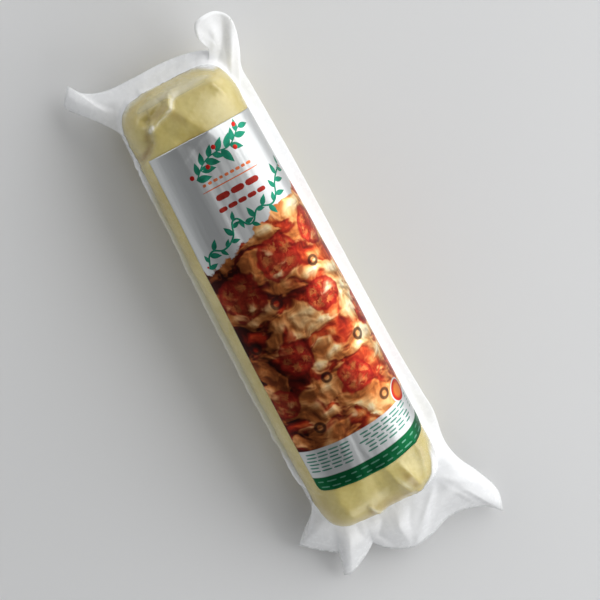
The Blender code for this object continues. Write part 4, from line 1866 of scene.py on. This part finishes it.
@dataclass
class LeafPrint(Print):
    """Sprig and vine printed on the label, grown along a path by a Geometry Nodes tree.

    Leaf widths and lengths, and limits of the spread, are shares of the stem's own sizes. The
    stem has a ring of faces at each step of its width. The berries stand a few radii off it.
    """

    stems: tuple[Stem, ...] = ()
    green: InkFinish = InkFinish("leaf_ink", (0.01, 0.19, 0.11), (0.02, 0.26, 0.16))
    red: InkFinish = InkFinish("berry_ink", (0.62, 0.02, 0.015), (0.5, 0.015, 0.01))
    leaf_grid: tuple[int, int] = (12, 5)
    leaf_width: float = 0.46
    leaf_belly: float = 0.75
    leaf_tip: float = 0.02
    stem_step: float = 0.7
    stem_sides: int = 8
    berry_sides: int = 16
    angle_spread: Limits = (0.75, 1.25)
    length_spread: Limits = (0.75, 1.1)
    berry_offset: float = 2.2

    def leaf(self, geo: GeoTree) -> Socket:
        """Leaf one long that starts at the origin and points along X.

        Args:
            geo: Tree that the leaf's nodes go into.

        Returns:
            The leaf's mesh.
        """
        x, y, _ = geo.split(geo.make("GeometryNodeInputPosition"))
        along = geo.plus(x, 0.5)
        belly = geo.math("SINE", geo.times(geo.math("POWER", along, self.leaf_belly), math.pi))
        width = geo.times(geo.math("MAXIMUM", belly, self.leaf_tip), self.leaf_width)
        return geo.make("GeometryNodeSetPosition", {
            "Geometry": geo.grid(*self.leaf_grid),
            "Position": geo.join(along, geo.times(y, width), 0.0)})

    def tree(self) -> GeoTree:
        """Grow one stem.

        Returns:
            Tree that gives a path its stem, leaves on alternate sides, and berries.
        """
        geo = GeoTree("leafy_stem")
        width, pitch, length, angle, radius = (geo.ask(name) for name in (
            "Stem Width", "Leaf Pitch", "Leaf Length", "Leaf Angle", "Berry Radius"))
        berries, seed = geo.ask("Berries", Kind.WHOLE), geo.ask("Seed", Kind.WHOLE)
        green, red = (geo.ask(name, Kind.MATERIAL) for name in ("Leaf Material", "Berry Material"))
        path = "GeometryNodeResampleCurve"
        smooth = geo.make(path, {"Curve": geo.base, "Length": geo.times(width, self.stem_step)},
                          mode="LENGTH")
        sparse = geo.make(path, {"Curve": geo.base, "Length": pitch}, mode="LENGTH")
        spots = geo.make(path, {"Curve": geo.base, "Count": berries}, mode="COUNT")
        profile = geo.make("GeometryNodeCurvePrimitiveCircle", {
            "Resolution": self.stem_sides, "Radius": geo.times(width, 0.5)})
        stem = geo.make("GeometryNodeCurveToMesh", {
            "Curve": smooth, "Profile Curve": profile, "Fill Caps": True})
        index = geo.make("GeometryNodeInputIndex")
        side = geo.minus(geo.times(geo.math("MODULO", index, 2.0), 2.0), 1.0)
        tangent = geo.make("GeometryNodeInputTangent")
        facing = geo.make("FunctionNodeAlignEulerToVector", {"Vector": tangent}, axis="X",
                          pivot_axis="Z")
        sway = geo.times(angle, geo.random(*self.angle_spread, seed, index))
        turned = geo.make("FunctionNodeRotateEuler", {
            "Rotation": facing, "Rotate By": geo.join(0.0, 0.0, geo.times(side, sway))})
        scale = geo.times(geo.random(*self.length_spread, seed), length)
        leaves = geo.spread(sparse, self.leaf(geo), Rotation=turned, Scale=scale)
        aside = geo.vector("CROSS_PRODUCT", tangent, (0.0, 0.0, 1.0))
        away = geo.times(geo.times(side, self.berry_offset), radius)
        spots = geo.make("GeometryNodeSetPosition", {
            "Geometry": spots, "Offset": geo.vector("SCALE", aside, Scale=away)})
        berry = geo.make("GeometryNodeMeshUVSphere", {
            "Segments": self.berry_sides, "Rings": self.berry_sides // 2, "Radius": radius})
        plant = geo.node("GeometryNodeJoinGeometry")
        for part, ink in ((leaves, green), (stem, green), (geo.spread(spots, berry), red)):
            geo.put(plant, {0: geo.painted(part, ink)})
        whole = geo.make("GeometryNodeRealizeInstances", {"Geometry": plant.outputs[0]})
        geo.give("Geometry", whole, Kind.GEOMETRY)
        return geo

    def path_curve(self, stem: Stem) -> bpy.types.Curve:
        """Smooth curve through a stem's points, flat on the label.

        Args:
            stem: Stem that it belongs to.

        Returns:
            The curve.
        """
        curve = bpy.data.curves.new(f"{stem.name}_path", "CURVE")
        curve.dimensions = "3D"
        spline = curve.splines.new("BEZIER")
        spline.bezier_points.add(len(stem.path) - 1)
        for point, (x, y) in zip(spline.bezier_points, stem.path):
            point.co = (x * MM, y * MM, 0)
            point.handle_left_type = point.handle_right_type = "AUTO"
        return curve

    def build(self) -> list[bpy.types.Object]:
        """Make every stem.

        Returns:
            The pieces.
        """
        geo = self.tree()
        green, red = self.green.build(), self.red.build()
        pieces = []
        for stem in self.stems:
            values = {"Stem Width": stem.width * MM, "Leaf Pitch": stem.leaf_pitch * MM,
                      "Leaf Length": stem.leaf_length * MM,
                      "Leaf Angle": math.radians(stem.leaf_angle), "Berries": stem.berries,
                      "Berry Radius": stem.berry_radius * MM, "Seed": stem.seed,
                      "Leaf Material": green, "Berry Material": red}
            mesh = geo.run(stem.name, self.path_curve(stem), values)
            pieces.append(self.lay(stem.name, mesh))
        return pieces


@dataclass(frozen=True)
class Lamp:
    """A soft rectangular lamp that faces the loaf, with its sizes in metres."""

    name: str
    place: Place
    size: tuple[float, float]
    watts: float

    def hang(self, aim: Place) -> None:
        """Hang the lamp.

        Args:
            aim: Place that it faces, in metres.
        """
        light = bpy.data.lights.new(self.name, "AREA")
        light.shape = "RECTANGLE"
        light.size, light.size_y = self.size
        light.energy = self.watts
        lamp = bpy.data.objects.new(self.name, light)
        lamp.visible_camera = False
        lamp.location = self.place
        back = Vector(aim) - Vector(self.place)
        lamp.rotation_euler = back.to_track_quat("-Z", "Y").to_euler()
        bpy.context.scene.collection.objects.link(lamp)


@dataclass
class Studio:
    """Pale floor, soft lights and the camera.

    Lengths are in metres, the film's width in millimetres and angles in degrees. The walls' glow
    fades towards the ceiling.
    """

    floor_size: float = 6.0
    floor_grain: Noise = Noise(2.0, 2)
    floor_drift: Fade = Fade(0.3, 0.7)
    floor_tones: tuple[Colour, Colour] = ((0.77, 0.775, 0.78), (0.80, 0.805, 0.81))
    floor_roughness: float = 0.7
    lamps: tuple[Lamp, ...] = (
        Lamp("key", (1.386, 0.12, 0.80), (3.0, 1.84), 36),
        Lamp("overhead", (0.62, -0.15, 1.9), (2.4, 0.95), 2.6),
        Lamp("fill", (-1.3, 0.25, 0.32), (1.6, 0.6), 0.8),
        Lamp("head_fill", (-0.75, 1.35, 0.75), (1.2, 0.7), 3.2),
        Lamp("foot_fill", (0.25, -1.45, 0.75), (1.2, 0.7), 4.6))
    lamp_aim: Place = (0, 0, 0.03)
    sky: Colour = (0.97, 0.985, 1.0)
    walls: Fade = Fade(0.55, 0.85, 0.35, 0.07)
    camera_place: Place = (-0.0405, 0.1949, 0.9777)
    camera_aim: Place = (0.0078, -0.0009, 0.0565)
    camera_roll: float = 27.9
    picture_angle: float = 18.7014
    film_width: float = 36.0

    def floor(self) -> None:
        """Lay the floor."""
        half = self.floor_size / 2
        corners = np.array([(-half, -half, 0), (half, -half, 0), (half, half, 0), (-half, half, 0)])
        material, desk, shader = Paint("floor").start()
        grain = desk.noise(desk.node("ShaderNodeTexCoord").outputs["Object"], self.floor_grain)
        tone = desk.mix(desk.ease(grain, self.floor_drift), *self.floor_tones)
        desk.put(shader, {"Base Color": tone, "Roughness": self.floor_roughness})
        mesh_object("floor", corners, [(0, 1, 2, 3)], material)

    def surroundings(self) -> None:
        """Surround the scene with pale walls under a dark ceiling."""
        world = bpy.data.worlds.new("surroundings")
        world.use_nodes = True
        desk = Desk(world.node_tree)
        _, _, up = desk.split(desk.node("ShaderNodeTexCoord").outputs["Generated"])
        desk.put(world.node_tree.nodes["Background"],
                 {"Color": self.sky, "Strength": desk.ease(up, self.walls)})
        bpy.context.scene.world = world

    def camera(self) -> None:
        """Set the camera over the loaf, turned as the photograph is."""
        place, aim = Vector(self.camera_place), Vector(self.camera_aim)
        back = (place - aim).normalized()
        up = (Vector((0, 1, 0)) - back * back.y).normalized()
        right = up.cross(back)
        roll = math.radians(self.camera_roll)
        right, up = (right * math.cos(roll) - up * math.sin(roll),
                     right * math.sin(roll) + up * math.cos(roll))
        data = bpy.data.cameras.new("camera")
        data.sensor_width = self.film_width
        data.lens = self.film_width / 2 / math.tan(math.radians(self.picture_angle / 2))
        camera = bpy.data.objects.new("camera", data)
        camera.matrix_world = Matrix((right, up, back)).transposed().to_4x4()
        camera.matrix_world.translation = place
        bpy.context.scene.collection.objects.link(camera)
        bpy.context.scene.camera = camera

    def build(self) -> None:
        """Set the floor, the lights, the surroundings and the camera."""
        self.floor()
        for lamp in self.lamps:
            lamp.hang(self.lamp_aim)
        self.surroundings()
        bpy.context.scene.view_settings.view_transform = "Standard"
        self.camera()


RED_INK = InkFinish("dark_red_ink", (0.30, 0.015, 0.012), (0.36, 0.03, 0.02))
ORANGE_INK = InkFinish("orange_ink", (0.78, 0.20, 0.07), (0.72, 0.16, 0.06))
SMALL_INK = InkFinish("small_print_ink", (0.08, 0.24, 0.18), (0.13, 0.30, 0.24))
PALE_INK = InkFinish("band_ink", (0.13, 0.34, 0.23), (0.09, 0.28, 0.18))
BAR_BLOCKS = (
    (BarBlock("head_line_bars", (-2.6, 66.4), 3, 1, 8.9, 1, 3.3, 6.9, 8.1, 0.3, 3), RED_INK),
    (BarBlock("second_line_bars", (-5.6, 60.1), 5, 1, 5.8, 1, 2.4, 4.2, 5.3, 0.3, 5), RED_INK),
    (BarBlock("orange_rule", (5.6, 72.0), 1, 1, 1, 1, 0.6, 34, 34, 0, 1, 40), ORANGE_INK),
    (BarBlock("orange_dots", (-8.6, 75.4), 9, 1, 3.4, 1, 1.5, 1.6, 2.9, 0.2, 2), ORANGE_INK),
    (BarBlock("left_small_print", (-26.4, -89.2), 4, 6, 6.1, 2.05, 0.9, 4.4, 5.9, 1.1, 11),
     SMALL_INK),
    (BarBlock("right_small_print", (4.2, -89.2), 5, 6, 6.3, 2.05, 0.9, 4.3, 6.1, 2.0, 12),
     SMALL_INK),
    (BarBlock("side_print", (38.2, -86.5), 1, 5, 1, 1.9, 0.7, 1.6, 2.4, 0.2, 14), SMALL_INK),
    (BarBlock("band_bars", (-27.0, -98.9), 13, 2, 6.1, 3.1, 0.8, 3.0, 5.4, 1.2, 13), PALE_INK),
)
STEMS = (
    Stem("sprig", ((-11, 79.5), (-3, 86), (5, 88), (13, 87.5), (23, 94)), 0.7, 2.7, 8.6, 48, 5,
         1.3, 4),
    Stem("vine", ((-27, 35), (-22, 43), (-15, 41.5), (-8, 45), (-3, 53), (4, 47), (11, 52.5),
                  (20, 51), (28, 61), (37, 66)), 1.0, 3.7, 6.2, 52, 2, 0.6, 9),
)


def main() -> None:
    """Build every sub-assembly and report its pieces."""
    logging.basicConfig(level=logging.INFO, format="%(name)s: %(message)s")
    form = LoafForm()
    label = LabelSheet(form)
    pieces = [Cheese(form).build(), Pouch(form).build(), label.build()]
    pieces += PlainBars(label, blocks=BAR_BLOCKS).build()
    pieces += LeafPrint(label, stems=STEMS).build()
    for piece in pieces:
        LOG.info("%s: %d faces", piece.name, len(piece.data.polygons))
    Studio().build()


if __name__ == "__main__":
    main()
